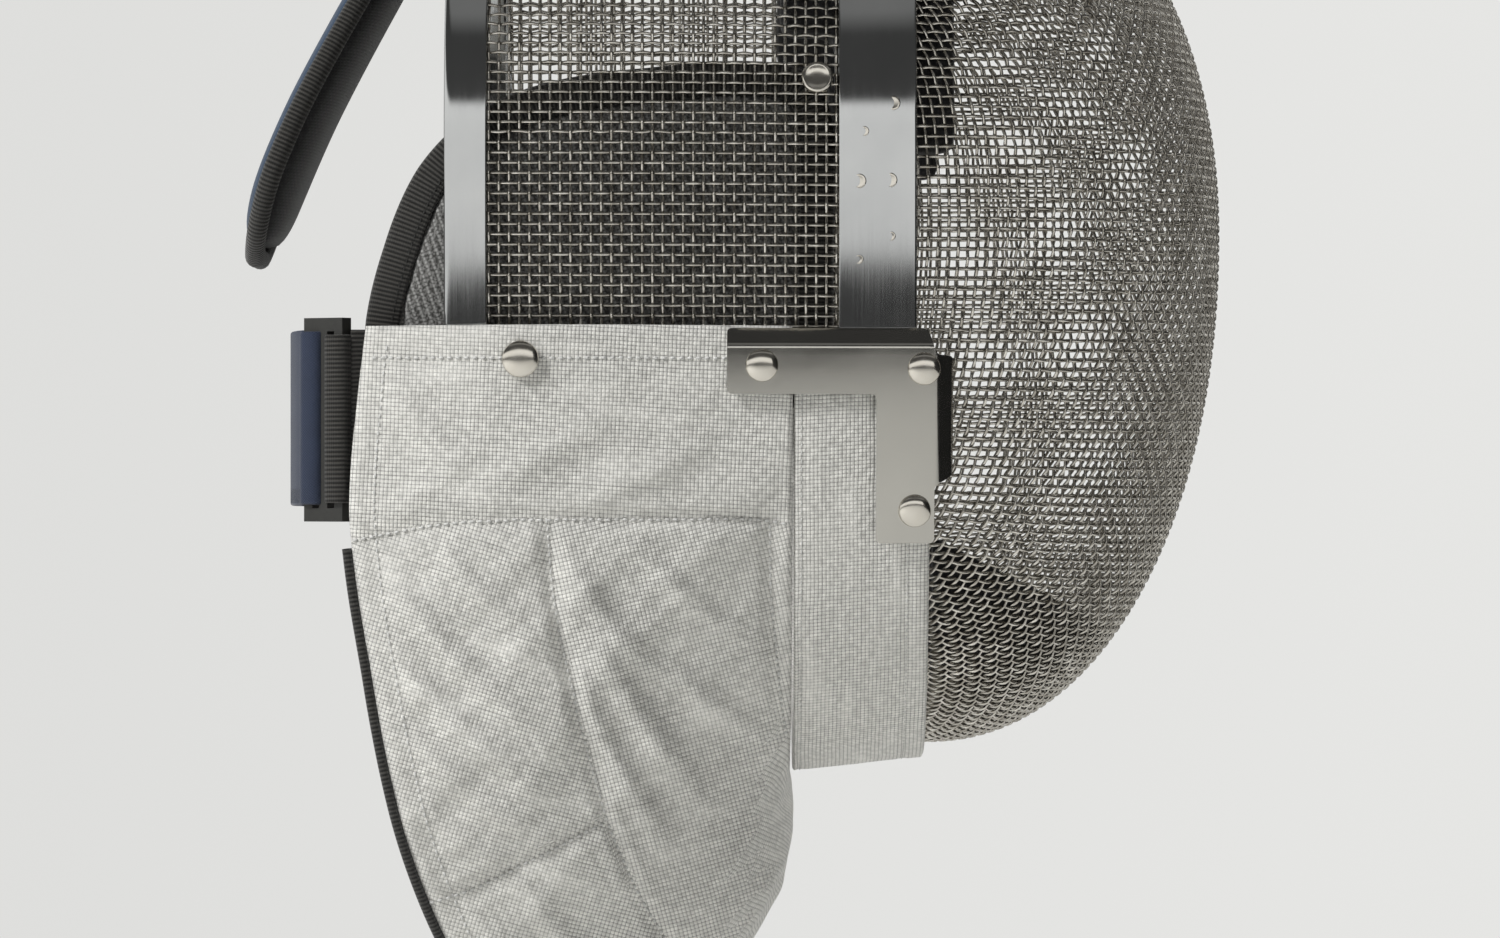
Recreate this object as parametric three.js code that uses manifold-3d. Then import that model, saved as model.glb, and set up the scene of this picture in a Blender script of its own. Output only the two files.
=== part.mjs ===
// A sabre fencing mask, as worn. Millimetres, +Z up. The face looks along -Y and X is the width,
// with the wearer's right at -X. The origin is inside the crown, where the top of the head sits.
import * as THREE from "three";
import { mergeGeometries, mergeVertices } from "three/addons/utils/BufferGeometryUtils.js";
import Module from "manifold-3d";

const wasm = await Module();
wasm.setup();

// ---- driving dimensions ----
const CROWN_Z = 14; // outside of the mesh at the top of the head
const ARCH_RADIUS = 98; // half-width of the mask, and the radius of its crown
const ARCH_Z = CROWN_Z - ARCH_RADIUS; // height of the widest level
const CHIN_DROP = 183; // from the widest level down to the chin
const CHIN_POWER = 2.5; // how square the jaw is: 2 is an ellipse
const CHIN_SLOPE = 0.11; // how much the chin falls, for each millimetre towards the back
const TAPER_START = 30; // the mask narrows towards the front from this depth on
const TAPER = 4e-4; // millimetres of narrowing for each square millimetre
const WIRE_MESH = 2; // thickness of the woven wire

const RIM_Y = -75.3; // the face mesh starts to close in here
const SKIRT_Y = -62; // its edge, under the band and the chin strip
const FACE_DEPTH = 89.3; // from the rim to the nose
const FACE_Z = -111; // height of the nose
const FACE_TOP = CROWN_Z - FACE_Z;
const FACE_BOTTOM = FACE_Z - (ARCH_Z - CHIN_DROP);
const PROFILE_POWER = 2.1; // of the face mesh seen from the side
const SECTION_POWER = 1.85; // of the face mesh seen from the top

const SIDE_FRONT_Y = -61;
const SIDE_REAR_Y = 66.2;
const SIDE_BOTTOM_Z = -156;
const BAND = { front: -69, rear: -46, gap: 0.4, thick: 1, bottom: -139.5 };
const CHANNEL = { front: 57.2, rear: 69.7, wall: 0.9, slot: 0.4, bottom: -156 };

const STRIP = { front: -73, rear: -33, inner: 0.6, outer: 4.4, top: -149 };
const BIB = {
  front: -32.6, top: -141, thick: 4, clear: 0.8, clearRear: 3.6, bracketDrop: 7, bracketFade: 29,
};
const PIPING_RADIUS = 1.6;
const BRACKET = { front: -74.2, rear: -13.3, top: -146, armBottom: -160, legRear: -57, bottom: -202.5 };
const PLATE = {
  inner: 6.3, outer: 7.5, flange: 5.2, flangeDrop: 5, flangeBottom: -184, overlap: 0.6, gap: 0.6,
};
const EAR = {
  outer: -4.8, inner: -13.4, binding: 10, bottom: -166, gap: 0.4, frontTop: -140, lean: 0.2,
};
const FOREHEAD = {
  front: -80, middle: -45.3, rear: -29, outer: -2.5, inner: -14, bottom: -90, rearBottom: -52, lean: 1.5,
};
const CHIN_PAD = { outer: 3.4, inner: 7, rear: -74, top: -203, slope: 27 };
const TONGUE = {
  thick: 13, rim: 4, binding: 4.6, gap: 0.4, bow: 1.5, widest: 35, tip: 0.22, tipShare: 0.35, tipLeast: 6,
};
const SPRING = { width: 26, thick: 0.8, start: -38 };
const STRAP = { top: -142, bottom: -194, thick: 2 };
const SLIDER = {
  top: -138.5, bottom: -198.5, bar: 4, upright: 3, thick: 4.5, length: 14, x: 85.5, y: 104.5, turn: -1,
};

// ---- finishes ----
const finish = (color, roughness, metalness) =>
  new THREE.MeshStandardMaterial({ color, roughness, metalness });
const wire = finish(0xa8a69c, 0.35, 1);
const steel = finish(0xb9b7b2, 0.25, 1);
const lame = finish(0xcfcdc6, 0.5, 0.4);
const blackCloth = finish(0x17181a, 0.9, 0);
const greyCloth = finish(0x7d8084, 0.9, 0);
const navy = finish(0x1d2c4c, 0.8, 0);
const plastic = finish(0x141414, 0.45, 0);

// ---- the wall of the mask ----
// The outline seen from the front runs from 0 at the crown, through 1 at the widest level,
// to 2 at the chin. Negative values are the wearer's right.
const halfWidth = (y) => ARCH_RADIUS - TAPER * Math.max(0, TAPER_START - y) ** 2;
const chinDrop = (y) => CHIN_DROP + CHIN_SLOPE * Math.max(0, y - STRIP.front);

function outline(a, y) {
  const turn = (Math.abs(a) * Math.PI) / 2;
  const side = Math.sign(a) * (halfWidth(y) / ARCH_RADIUS);
  if (Math.abs(a) <= 1) {
    const x = side * ARCH_RADIUS * Math.sin(turn);
    return new THREE.Vector3(x, y, ARCH_Z + ARCH_RADIUS * Math.cos(turn));
  }
  const jaw = turn - Math.PI / 2;
  const x = side * ARCH_RADIUS * Math.max(0, Math.cos(jaw)) ** (2 / CHIN_POWER);
  return new THREE.Vector3(x, y, ARCH_Z - chinDrop(y) * Math.sin(jaw) ** (2 / CHIN_POWER));
}

// The place on the outline that is at height z.
function level(z, y = RIM_Y) {
  if (z >= ARCH_Z) return Math.acos((z - ARCH_Z) / ARCH_RADIUS) / (Math.PI / 2);
  const share = Math.min(1, (ARCH_Z - z) / chinDrop(y));
  return 1 + Math.asin(share ** (CHIN_POWER / 2)) / (Math.PI / 2);
}

function wall(a, y, offset = 0) {
  const step = 0.01;
  const point = outline(a, y);
  const low = outline(Math.max(-2, a - step), y);
  const along = outline(Math.min(2, a + step), y).sub(low);
  const out = new THREE.Vector3(-along.z, 0, along.x).normalize();
  if (Math.abs(a) > 2 - step) out.set(0, 0, -1);
  return point.addScaledVector(out, offset);
}

const steps = (from, to, count) =>
  Array.from({ length: count + 1 }, (_, i) => from + ((to - from) * i) / count);

// ---- solids ----
function solid(points, faces) {
  const position = new Float32Array(points.flatMap((p) => [p.x, p.y, p.z]));
  const raw = new THREE.BufferGeometry();
  raw.setAttribute("position", new THREE.BufferAttribute(position, 3));
  raw.setIndex(faces.flat());
  const merged = mergeVertices(raw, 1e-3);
  const kept = [];
  const index = merged.index.array;
  for (let i = 0; i < index.length; i += 3) {
    const [a, b, c] = index.slice(i, i + 3);
    if (a !== b && b !== c && a !== c) kept.push([a, b, c]);
  }
  const at = merged.attributes.position;
  const corner = (i) => new THREE.Vector3().fromBufferAttribute(at, i);
  const volume = kept.reduce(
    (sum, [a, b, c]) => sum + corner(a).dot(corner(b).cross(corner(c))), 0);
  merged.setIndex(kept.flatMap(([a, b, c]) => (volume < 0 ? [a, c, b] : [a, b, c])));
  merged.computeVertexNormals();
  return merged;
}

// A closed tube through equal rings of points, capped at both ends.
function loft(rings, cap = null) {
  const n = rings[0].length;
  const faces = [];
  rings.slice(1).forEach((_, r) => {
    for (let i = 0; i < n; i++) {
      const a = r * n + i;
      const b = r * n + ((i + 1) % n);
      faces.push([a, b, b + n], [a, b + n, a + n]);
    }
  });
  const flat = cap ?? steps(0, n - 1, n - 1).map((i) => {
    const t = (2 * Math.PI * i) / n;
    return [Math.cos(t), Math.sin(t)];
  });
  const shape = flat.map(([u, v]) => new THREE.Vector2(u, v));
  const last = (rings.length - 1) * n;
  const ends = THREE.ShapeUtils.triangulateShape(shape, []);
  const forward = THREE.ShapeUtils.isClockWise(shape) ? 1 : -1;
  for (const [a, b, c] of ends) {
    const turned = forward > 0 ? [a, b, c] : [c, b, a];
    faces.push(turned, turned.map((i) => i + last).reverse());
  }
  return solid(rings.flat(), consistent(faces));
}

// Turns the faces so that each edge is used once in each direction.
function consistent(faces) {
  const owners = new Map();
  const key = (a, b) => Math.min(a, b) + "," + Math.max(a, b);
  faces.forEach((f, i) => f.forEach((v, k) => {
    const edge = key(v, f[(k + 1) % 3]);
    owners.set(edge, [...(owners.get(edge) ?? []), i]);
  }));
  const done = new Set([0]);
  const queue = [0];
  const runs = (f, a, b) => f.some((v, k) => v === a && f[(k + 1) % 3] === b);
  while (queue.length) {
    const f = faces[queue.pop()];
    for (let k = 0; k < 3; k++) {
      const [a, b] = [f[k], f[(k + 1) % 3]];
      for (const other of owners.get(key(a, b))) {
        if (done.has(other)) continue;
        if (runs(faces[other], a, b)) faces[other].reverse();
        done.add(other);
        queue.push(other);
      }
    }
  }
  return faces;
}

// Outward direction at each point of a grid of surface points.
function gridNormals(grid, wrap) {
  const rows = grid.length;
  const cols = grid[0].length;
  return grid.map((row, r) => row.map((_, c) => {
    const pick = (i) => (wrap ? (i + cols) % cols : Math.min(cols - 1, Math.max(0, i)));
    const across = row[pick(c + 1)].clone().sub(row[pick(c - 1)]);
    const down = grid[Math.min(rows - 1, r + 1)][c].clone().sub(grid[Math.max(0, r - 1)][c]);
    return down.cross(across).normalize();
  }));
}

// A wall from a grid of points: it reaches from low to high along the surface's direction.
// With a pole, the last row is a single point. A flat pad has one direction all over.
function slab(grid, low, high, { wrap = false, pole = null, direction = null } = {}) {
  const normals = gridNormals(grid, wrap);
  if (direction) normals.flat().forEach((n) => n.copy(direction));
  if (pole) normals[normals.length - 1].forEach((n) => n.copy(pole));
  const cols = grid[0].length;
  const half = grid.length * cols;
  const side = (d) => grid.flatMap((row, r) =>
    row.map((p, c) => p.clone().addScaledVector(normals[r][c], d)));
  const faces = [];
  const quad = (a, b, c, d) => faces.push([a, b, c], [a, c, d]);
  const spans = wrap ? cols : cols - 1;
  for (let r = 0; r < grid.length - 1; r++) {
    for (let c = 0; c < spans; c++) {
      const [a, b] = [r * cols + c, r * cols + ((c + 1) % cols)];
      quad(a, b, b + cols, a + cols);
      quad(half + a + cols, half + b + cols, half + b, half + a);
    }
  }
  const edge = (a, b) => quad(b, a, half + a, half + b);
  for (let c = 0; c < spans; c++) {
    edge(c, (c + 1) % cols);
    const last = half - cols;
    if (!pole) edge(last + ((c + 1) % cols), last + c);
  }
  if (!wrap) {
    for (let r = 0; r < grid.length - 1; r++) {
      edge((r + 1) * cols, r * cols);
      edge(r * cols + cols - 1, (r + 1) * cols + cols - 1);
    }
  }
  return solid([...side(high), ...side(low)], faces);
}

function toManifold(geometry) {
  const bare = new THREE.BufferGeometry();
  bare.setAttribute("position", geometry.getAttribute("position"));
  if (geometry.index) bare.setIndex(geometry.index);
  const merged = mergeVertices(bare, 1e-3);
  return new wasm.Manifold(new wasm.Mesh({
    numProp: 3,
    vertProperties: merged.attributes.position.array,
    triVerts: new Uint32Array(merged.index.array),
  }));
}

function fromManifold(body) {
  const { vertProperties, triVerts } = body.getMesh();
  const geometry = new THREE.BufferGeometry();
  geometry.setAttribute("position", new THREE.BufferAttribute(vertProperties, 3));
  geometry.setIndex(new THREE.BufferAttribute(triVerts, 1));
  geometry.computeVertexNormals();
  return geometry;
}

const join = (...parts) => fromManifold(
  parts.map(toManifold).reduce((all, next) => all.add(next)));

function mesh(name, geometry, material) {
  const made = new THREE.Mesh(geometry, material);
  made.name = name;
  return made;
}

// A curve through hand-set points, sampled evenly.
const curve = (points, count) => new THREE.CatmullRomCurve3(
  points.map((p) => new THREE.Vector3(...p)), false, "centripetal").getSpacedPoints(count);

// ---- wire meshes ----
// Depth of the face in front of its rim, over a point seen from the front.
function faceDepth(x, z) {
  const rise = (z - FACE_Z) / (z > FACE_Z ? FACE_TOP : FACE_BOTTOM);
  const profile = Math.max(0, 1 - Math.abs(rise) ** PROFILE_POWER) ** (1 / PROFILE_POWER);
  const half = Math.abs(outline(level(z), RIM_Y).x);
  const share = Math.min(1, Math.abs(x) / Math.max(half, 1e-6));
  return FACE_DEPTH * profile * (1 - share ** SECTION_POWER) ** (1 / SECTION_POWER);
}

// Rings of points from the edge of the skirt to the nose.
function faceGrid(around, rings, skirt = true) {
  const places = steps(0, 4, around).slice(0, -1).map((t) => (t <= 2 ? t : t - 4));
  const rim = (y) => places.map((a) => outline(a, y));
  const grid = skirt ? [rim(SKIRT_Y), rim((SKIRT_Y + RIM_Y) / 2), rim(RIM_Y)] : [rim(RIM_Y)];
  for (const share of steps(0, 1, rings).slice(1)) {
    const reach = Math.cos((share * Math.PI) / 2);
    grid.push(rim(RIM_Y).map((p) => {
      const x = p.x * reach;
      const z = FACE_Z + (p.z - FACE_Z) * reach;
      return new THREE.Vector3(x, RIM_Y - faceDepth(x, z), z);
    }));
  }
  return grid;
}

function faceMesh() {
  const nose = new THREE.Vector3(0, -1, 0);
  const grid = faceGrid(48, 10);
  return mesh("face_mesh", slab(grid, -WIRE_MESH, 0, { wrap: true, pole: nose }), wire);
}

// A strip that follows the outline over the crown, with a given section of [offset, depth] pairs.
function overCrown(section, bottom, count) {
  const end = level(bottom);
  return loft(steps(-end, end, count).map((a) =>
    section.map(([offset, y]) => wall(a, y, offset))), section);
}

function sideMesh() {
  const depths = steps(SIDE_FRONT_Y, SIDE_REAR_Y, 4);
  const section = [
    ...depths.map((y) => [0, y]),
    ...depths.map((y) => [-WIRE_MESH, y]).reverse(),
  ];
  return mesh("side_mesh", overCrown(section, SIDE_BOTTOM_Z, 36), wire);
}

// ---- steel ----
function frontBand() {
  const { front, rear, gap, thick, bottom } = BAND;
  const middle = (front + rear) / 2;
  const depths = [front, middle, rear];
  const section = [
    ...depths.map((y) => [gap + thick, y]),
    ...depths.map((y) => [gap, y]).reverse(),
  ];
  return mesh("front_band", overCrown(section, bottom, 36), steel);
}

// A sheet folded round the mesh edge, round at the back.
function rearChannel() {
  const { front, rear, wall: sheet, slot, bottom } = CHANNEL;
  const outer = slot + sheet;
  const inner = -WIRE_MESH - slot - sheet;
  const radius = (outer - inner) / 2;
  const fold = steps(90, -90, 4).map((angle) => {
    const t = (angle * Math.PI) / 180;
    return [(outer + inner) / 2 + radius * Math.sin(t), rear - radius + radius * Math.cos(t)];
  });
  const section = [
    [outer, front], ...fold, [inner, front], [inner + sheet, front],
    [inner + sheet, SIDE_REAR_Y + slot], [slot, SIDE_REAR_Y + slot], [slot, front],
  ];
  return mesh("rear_channel", overCrown(section, bottom, 36), steel);
}

// A plate on the wall: its corners are given as [offset, depth, height], in rings along its length.
function wallPlate(side, rings) {
  return loft(rings.map((ring) => ring.map(([offset, y, z]) =>
    wall(side * level(z, y), y, offset))), [[0, 0], [1, 0], [1, 1], [0, 1]]);
}

function bracket(name, side) {
  const { front, rear, top, armBottom, legRear, bottom } = BRACKET;
  const { inner, outer, flange, flangeDrop, flangeBottom, overlap } = PLATE;
  const band = (y0, y1) => (z) => [[inner, y0, z], [outer, y0, z], [outer, y1, z], [inner, y1, z]];
  const arm = wallPlate(side, steps(top, armBottom, 4).map(band(front, rear)));
  const leg = wallPlate(side, steps(top, bottom, 12).map(band(front, legRear)));
  const slope = (z) => (z > top ? ((z - top) / flange) * flangeDrop : 0);
  const topFlange = wallPlate(side, steps(top - overlap, top + flange, 3).map((z) => {
    const d = slope(z);
    return [
      [inner - d, front, z], [outer - d, front, z], [outer - d, rear, z], [inner - d, rear, z],
    ];
  }));
  const turned = (z) => [
    [inner - flangeDrop, front - flange + 1, z], [outer - flangeDrop, front - flange, z],
    [outer, front + overlap, z], [inner, front + overlap, z],
  ];
  const frontFlange = wallPlate(side, steps(top - 1, flangeBottom, 8).map(turned));
  return mesh(name, join(arm, leg, topFlange, frontFlange), steel);
}

// A domed head on a cylinder rim, standing on the wall at a depth, a height and an offset.
function stud(name, side, { y, z, offset, radius, height }) {
  const edge = height * 0.35;
  const dome = steps(0, 90, 3).map((angle) => {
    const t = (angle * Math.PI) / 180;
    return new THREE.Vector2(radius * Math.cos(t), edge + (height - edge) * Math.sin(t));
  });
  const profile = [new THREE.Vector2(0, 0), new THREE.Vector2(radius * 0.97, 0), ...dome];
  profile[profile.length - 1].x = 0;
  const made = mesh(name, new THREE.LatheGeometry(profile, 14), steel);
  const a = side * level(z, y);
  const out = wall(a, y, 1).sub(wall(a, y, 0));
  made.position.copy(wall(a, y, offset));
  made.quaternion.setFromUnitVectors(new THREE.Vector3(0, 1, 0), out.normalize());
  return made;
}

const BRACKET_RIVETS = [
  { y: -23.5, z: -151.8 },
  { y: -71, z: -152.7 },
  { y: -68.4, z: -193.2 },
];

function studs(hand, side) {
  const onPlate = PLATE.outer + PLATE.gap;
  return [
    ...BRACKET_RIVETS.map((place, i) => stud(`bracket_rivet_${hand}_${i + 1}`, side,
      { ...place, offset: onPlate, radius: 4.8, height: 2.2 })),
    stud(`bib_rivet_${hand}`, side,
      { y: 47, z: -150, offset: BIB.clearRear + BIB.thick + 0.8, radius: 5.4, height: 2.4 }),
    stud(`snap_${hand}`, side, { y: -39.7, z: -68.5, offset: 0.7, radius: 4.7, height: 2.2 }),
  ];
}

// ---- cloth ----
function chinStrip() {
  const { front, rear, inner, outer, top } = STRIP;
  const end = 2 - level(top);
  const rings = steps(-end, end, 48).map((t) => {
    const a = t < 0 ? -(2 + t) : 2 - t;
    return [[inner, front], [outer, front], [outer, rear], [inner, rear]].map(
      ([offset, y]) => wall(t === 0 ? 2 : a, y, offset));
  });
  return mesh("chin_strip", loft(rings, [[0, 0], [1, 0], [1, 1], [0, 1]]), lame);
}

// The bib hangs from the seam behind the chin strip. Each row is one line across it, from the seam
// to its free edge: two points on the way, then the edge. The last row is the middle of the throat.
const BIB_ROWS = [
  { seamZ: -141, near: [102.2, 12, -141], far: [103.4, 58, -141], edge: [96, 93, -141] },
  { seamZ: -170, near: [99.5, 12, -169], far: [101.5, 58, -169], edge: [96, 96, -168] },
  { seamZ: -203, near: [96.5, 14, -202], far: [100, 58, -200], edge: [95.5, 97.8, -197] },
  { seamZ: -235, near: [88, 10, -238], far: [95, 50, -240], edge: [92, 92, -240] },
  { seamZ: -256, near: [70, -2, -273], far: [84, 36, -282], edge: [86, 82, -290] },
  { seamZ: -266, near: [46, -17, -301], far: [62, 17, -321], edge: [68, 66, -332] },
  { seamZ: -270.5, near: [22, -28, -309], far: [33, -2, -342], edge: [40, 42, -369] },
  { seamZ: -271.4, near: [0, -31, -311], far: [0, -9, -349], edge: [0, 30, -385] },
];

function bibGrid(down, across) {
  const seamOffset = BIB.clear + BIB.thick;
  const line = ({ seamZ, near, far, edge }) => {
    const middle = near[0] === 0;
    const start = wall(middle ? 2 : level(seamZ, BIB.front), BIB.front, seamOffset);
    if (middle) start.x = 0;
    return curve([start.toArray(), near, far, edge], across);
  };
  const half = BIB_ROWS.map(line);
  const mirror = (row) => row.map((p) => new THREE.Vector3(-p.x, p.y, p.z));
  const rows = [...half, ...half.slice(0, -1).reverse().map(mirror)];
  const places = steps(0, 1, down);
  const columns = rows[0].map((_, c) => {
    const path = new THREE.CatmullRomCurve3(rows.map((row) => row[c]), false, "centripetal");
    return places.map((t) => path.getPoint(t));
  });
  const grid = places.map((_, r) => columns.map((column) => column[r]));
  const { top, bracketDrop, bracketFade } = BIB;
  for (const p of grid.flat()) {
    const share = Math.max(0, 1 - (top - p.z) / bracketFade);
    if (p.y < BRACKET.rear + 6) p.z -= bracketDrop * share;
  }
  return grid;
}

function bib() {
  return mesh("bib", slab(bibGrid(48, 10), -BIB.thick, 0), lame);
}

// A round cord along a line of points.
function tube(points, radius, sides = 8) {
  const rings = points.map((p, i) => {
    const along = points[Math.min(points.length - 1, i + 1)].clone()
      .sub(points[Math.max(0, i - 1)]).normalize();
    const up = Math.abs(along.x) > 0.9 ? new THREE.Vector3(0, 1, 0) : new THREE.Vector3(1, 0, 0);
    const u = up.clone().addScaledVector(along, -up.dot(along)).normalize();
    const v = along.clone().cross(u);
    return steps(0, sides - 1, sides - 1).map((k) => {
      const t = (2 * Math.PI * k) / sides;
      return p.clone().addScaledVector(u, radius * Math.cos(t)).addScaledVector(v, radius * Math.sin(t));
    });
  });
  return loft(rings);
}

// The piping follows the free edge of the bib from below the strap on one side to the other.
function bibPiping() {
  const grid = bibGrid(72, 10);
  const normals = gridNormals(grid, false);
  const last = grid[0].length - 1;
  const path = grid.map((row, r) => {
    const away = row[last].clone().sub(row[last - 1]).normalize();
    return row[last].clone().addScaledVector(normals[r][last], -BIB.thick / 2)
      .addScaledVector(away, PIPING_RADIUS + 0.6);
  }).filter((p) => p.z < -198);
  return mesh("bib_piping", tube(path, PIPING_RADIUS, 6), blackCloth);
}

// ---- pads ----
// Top edge of an ear pad, from its front corner to where it goes behind the bib.
const EAR_EDGE = [
  { y: -44.5, z: -120 }, { y: -44, z: -80 }, { y: -38, z: -67 }, { y: -22, z: -63 },
  { y: 10, z: -65 }, { y: 40, z: -69.5 }, { y: 62, z: -79 }, { y: 78, z: -95 },
  { y: 88, z: -118 }, { y: 93.4, z: -140 }, { y: 93.4, z: -154 },
];

const onWall = (side, y, z, offset) => {
  const a = side * level(z, Math.min(y, SIDE_REAR_Y));
  const p = outline(a, y);
  const lean = EAR.lean * Math.max(0, y - SIDE_REAR_Y);
  return new THREE.Vector3(p.x + side * (offset - lean), y, z);
};

function earEdge(inset) {
  const flat = curve([
    [0, EAR_EDGE[0].y, EAR.bottom],
    ...EAR_EDGE.map(({ y, z }) => [0, y, z]),
    [0, EAR_EDGE[EAR_EDGE.length - 1].y, EAR.bottom],
  ], 26);
  return flat.map((p, i) => {
    const along = flat[Math.min(flat.length - 1, i + 1)].clone().sub(flat[Math.max(0, i - 1)]);
    along.normalize();
    return new THREE.Vector3(0, p.y + along.z * inset, p.z - along.y * inset);
  });
}

function earBinding(name, side) {
  const outer = earEdge(0);
  const inner = earEdge(EAR.binding);
  const rings = outer.map((p, i) => {
    const q = inner[i];
    return [
      onWall(side, p.y, p.z, EAR.outer), onWall(side, p.y, p.z, EAR.inner),
      onWall(side, q.y, q.z, EAR.inner), onWall(side, q.y, q.z, EAR.outer),
    ];
  });
  return mesh(name, loft(rings, [[0, 0], [1, 0], [1, 1], [0, 1]]), blackCloth);
}

function earPad(name, side) {
  const edge = earEdge(EAR.binding + EAR.gap).filter((p) => p.z > EAR.frontTop);
  const top = edge.filter((p, i) => i > 0 && p.y > edge[i - 1].y + 0.5);
  const grid = top.map((p) => steps(p.z, EAR.bottom, 4).map((z) =>
    onWall(side, p.y, z, (EAR.outer + EAR.inner) / 2)));
  const half = (EAR.outer - EAR.inner) / 2;
  return mesh(name, slab(grid, -half, half, { direction: new THREE.Vector3(1, 0, 0) }), greyCloth);
}

function foreheadPad() {
  const { front, middle, rear, outer, inner, bottom, rearBottom, lean } = FOREHEAD;
  const part = (y0, y1, low, slant) => overCrown(
    [[outer - slant, y0], [outer, y1], [inner, y1], [inner - slant, y0]], low, 26);
  return mesh("forehead_pad",
    join(part(front, middle, bottom, lean), part(middle - 1, rear, rearBottom, 0)), blackCloth);
}

// The inside of the face, shrunk along its directions, as a closed body.
function faceBody(inset) {
  const grid = faceGrid(48, 10, false);
  const normals = gridNormals(grid, true);
  const last = grid.length - 1;
  normals[last].forEach((n) => n.set(0, -1, 0));
  const rings = grid.map((row, r) => row.map((p, c) => {
    const q = p.clone().addScaledVector(normals[r][c], -inset);
    return r === 0 ? q.setY(CHIN_PAD.rear) : q;
  }));
  const n = rings[0].length;
  const faces = [];
  rings.slice(1).forEach((_, r) => {
    for (let i = 0; i < n; i++) {
      const [a, b] = [r * n + i, r * n + ((i + 1) % n)];
      faces.push([a, b, b + n], [a, b + n, a + n]);
    }
  });
  const centre = rings.length * n;
  for (let i = 0; i < n; i++) faces.push([centre, (i + 1) % n, i]);
  return solid([...rings.flat(), new THREE.Vector3(0, CHIN_PAD.rear, FACE_Z)], faces);
}

function chinPad() {
  const cutter = new THREE.BoxGeometry(300, 400, 300);
  cutter.translate(0, 0, 150);
  cutter.rotateX((CHIN_PAD.slope * Math.PI) / 180);
  cutter.translate(0, CHIN_PAD.rear, CHIN_PAD.top);
  const cup = toManifold(faceBody(CHIN_PAD.outer))
    .subtract(toManifold(faceBody(CHIN_PAD.inner)))
    .subtract(toManifold(cutter));
  const behind = new THREE.BoxGeometry(300, 40, 400);
  behind.translate(0, CHIN_PAD.rear + 20.5, -200);
  return mesh("chin_pad", fromManifold(cup.subtract(toManifold(behind))), blackCloth);
}

// ---- tongue ----
// Middle line of the spring and its pad, seen from the side: depth, height, half-width of the pad.
const TONGUE_LINE = [
  { y: 75, z: 4, half: 27 },
  { y: 86, z: -20, half: 29 },
  { y: 98.5, z: -43, half: 32 },
  { y: 113.8, z: -72, half: 35 },
  { y: 125, z: -98, half: 35 },
  { y: 131.5, z: -118, half: 30 },
];

function tongueGrid(inset, rows, cols) {
  const { bow, widest, tip, tipShare, tipLeast } = TONGUE;
  const line = curve(TONGUE_LINE.map(({ y, z }) => [0, y, z]), rows);
  const widths = curve(TONGUE_LINE.map(({ half }, i) => [half, i, 0]), rows).map((p) => p.x);
  return line.map((p, i) => {
    const left = Math.max(0, rows - i) / rows;
    const end = Math.sqrt(Math.max(0, 1 - Math.max(0, 1 - left / tip) ** 2));
    const half = Math.max(tipLeast, widths[i] * (tipShare + (1 - tipShare) * end)) - inset;
    return steps(-1, 1, cols).map((u) =>
      new THREE.Vector3(u * half, p.y + bow * (u * half / widest) ** 2, p.z));
  });
}

function tonguePad() {
  const rows = 18;
  const grid = tongueGrid(TONGUE.binding + TONGUE.gap, rows, 6).slice(0, rows - 1);
  const half = TONGUE.thick / 2;
  return mesh("tongue_pad", slab(grid, -half, half), navy);
}

function tongueBinding() {
  const rows = 18;
  const grid = tongueGrid(0, rows, 6);
  const right = grid.map((row) => row[0]);
  const left = grid.map((row) => row[row.length - 1]).reverse();
  const end = grid[rows].slice(1, -1);
  const path = new THREE.CatmullRomCurve3([...right, ...end, ...left], false, "centripetal");
  return mesh("tongue_binding", tube(path.getSpacedPoints(48), TONGUE.rim, 8), blackCloth);
}

function tongueSpring() {
  const { width, thick, start } = SPRING;
  const over = CROWN_Z + CHANNEL.slot + CHANNEL.wall + 2;
  const line = curve([
    [0, start, CROWN_Z + 1], [0, 40, CROWN_Z + 1], [0, 54, over], [0, 66, over],
    [0, 71.5, 13], [0, 73.4, 9.5],
  ], 20);
  const rings = line.map((p, i) => {
    const along = line[Math.min(20, i + 1)].clone().sub(line[Math.max(0, i - 1)]).normalize();
    const up = new THREE.Vector3(0, -along.z, along.y);
    const across = new THREE.Vector3(width / 2, 0, 0);
    return [[-1, -1], [1, -1], [1, 1], [-1, 1]].map(([s, h]) =>
      p.clone().addScaledVector(across, s).addScaledVector(up, (h * thick) / 2));
  });
  return mesh("tongue_spring", loft(rings, [[0, 0], [1, 0], [1, 1], [0, 1]]), steel);
}

// ---- strap ----
// A flat strap that stands on its edge along a line of [x, depth] points seen from the top.
function standing(points, { top, bottom, thick }, count = 24) {
  const line = curve(points.map(([x, y]) => [x, y, 0]), count);
  const rings = line.map((p, i) => {
    const along = line[Math.min(count, i + 1)].clone().sub(line[Math.max(0, i - 1)]).normalize();
    const out = new THREE.Vector3(-along.y, along.x, 0);
    return [[-1, bottom], [1, bottom], [1, top], [-1, top]].map(([s, z]) =>
      p.clone().setZ(z).addScaledVector(out, (s * thick) / 2));
  });
  return loft(rings, [[0, 0], [1, 0], [1, 1], [0, 1]]);
}

function backStrap() {
  const half = [[81.2, 111.2], [75, 113.4], [60, 116], [30, 117.4]];
  const points = [...half, [0, 117.8], ...half.map(([x, y]) => [-x, y]).reverse()];
  return mesh("back_strap", standing(points, STRAP, 32), navy);
}

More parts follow.
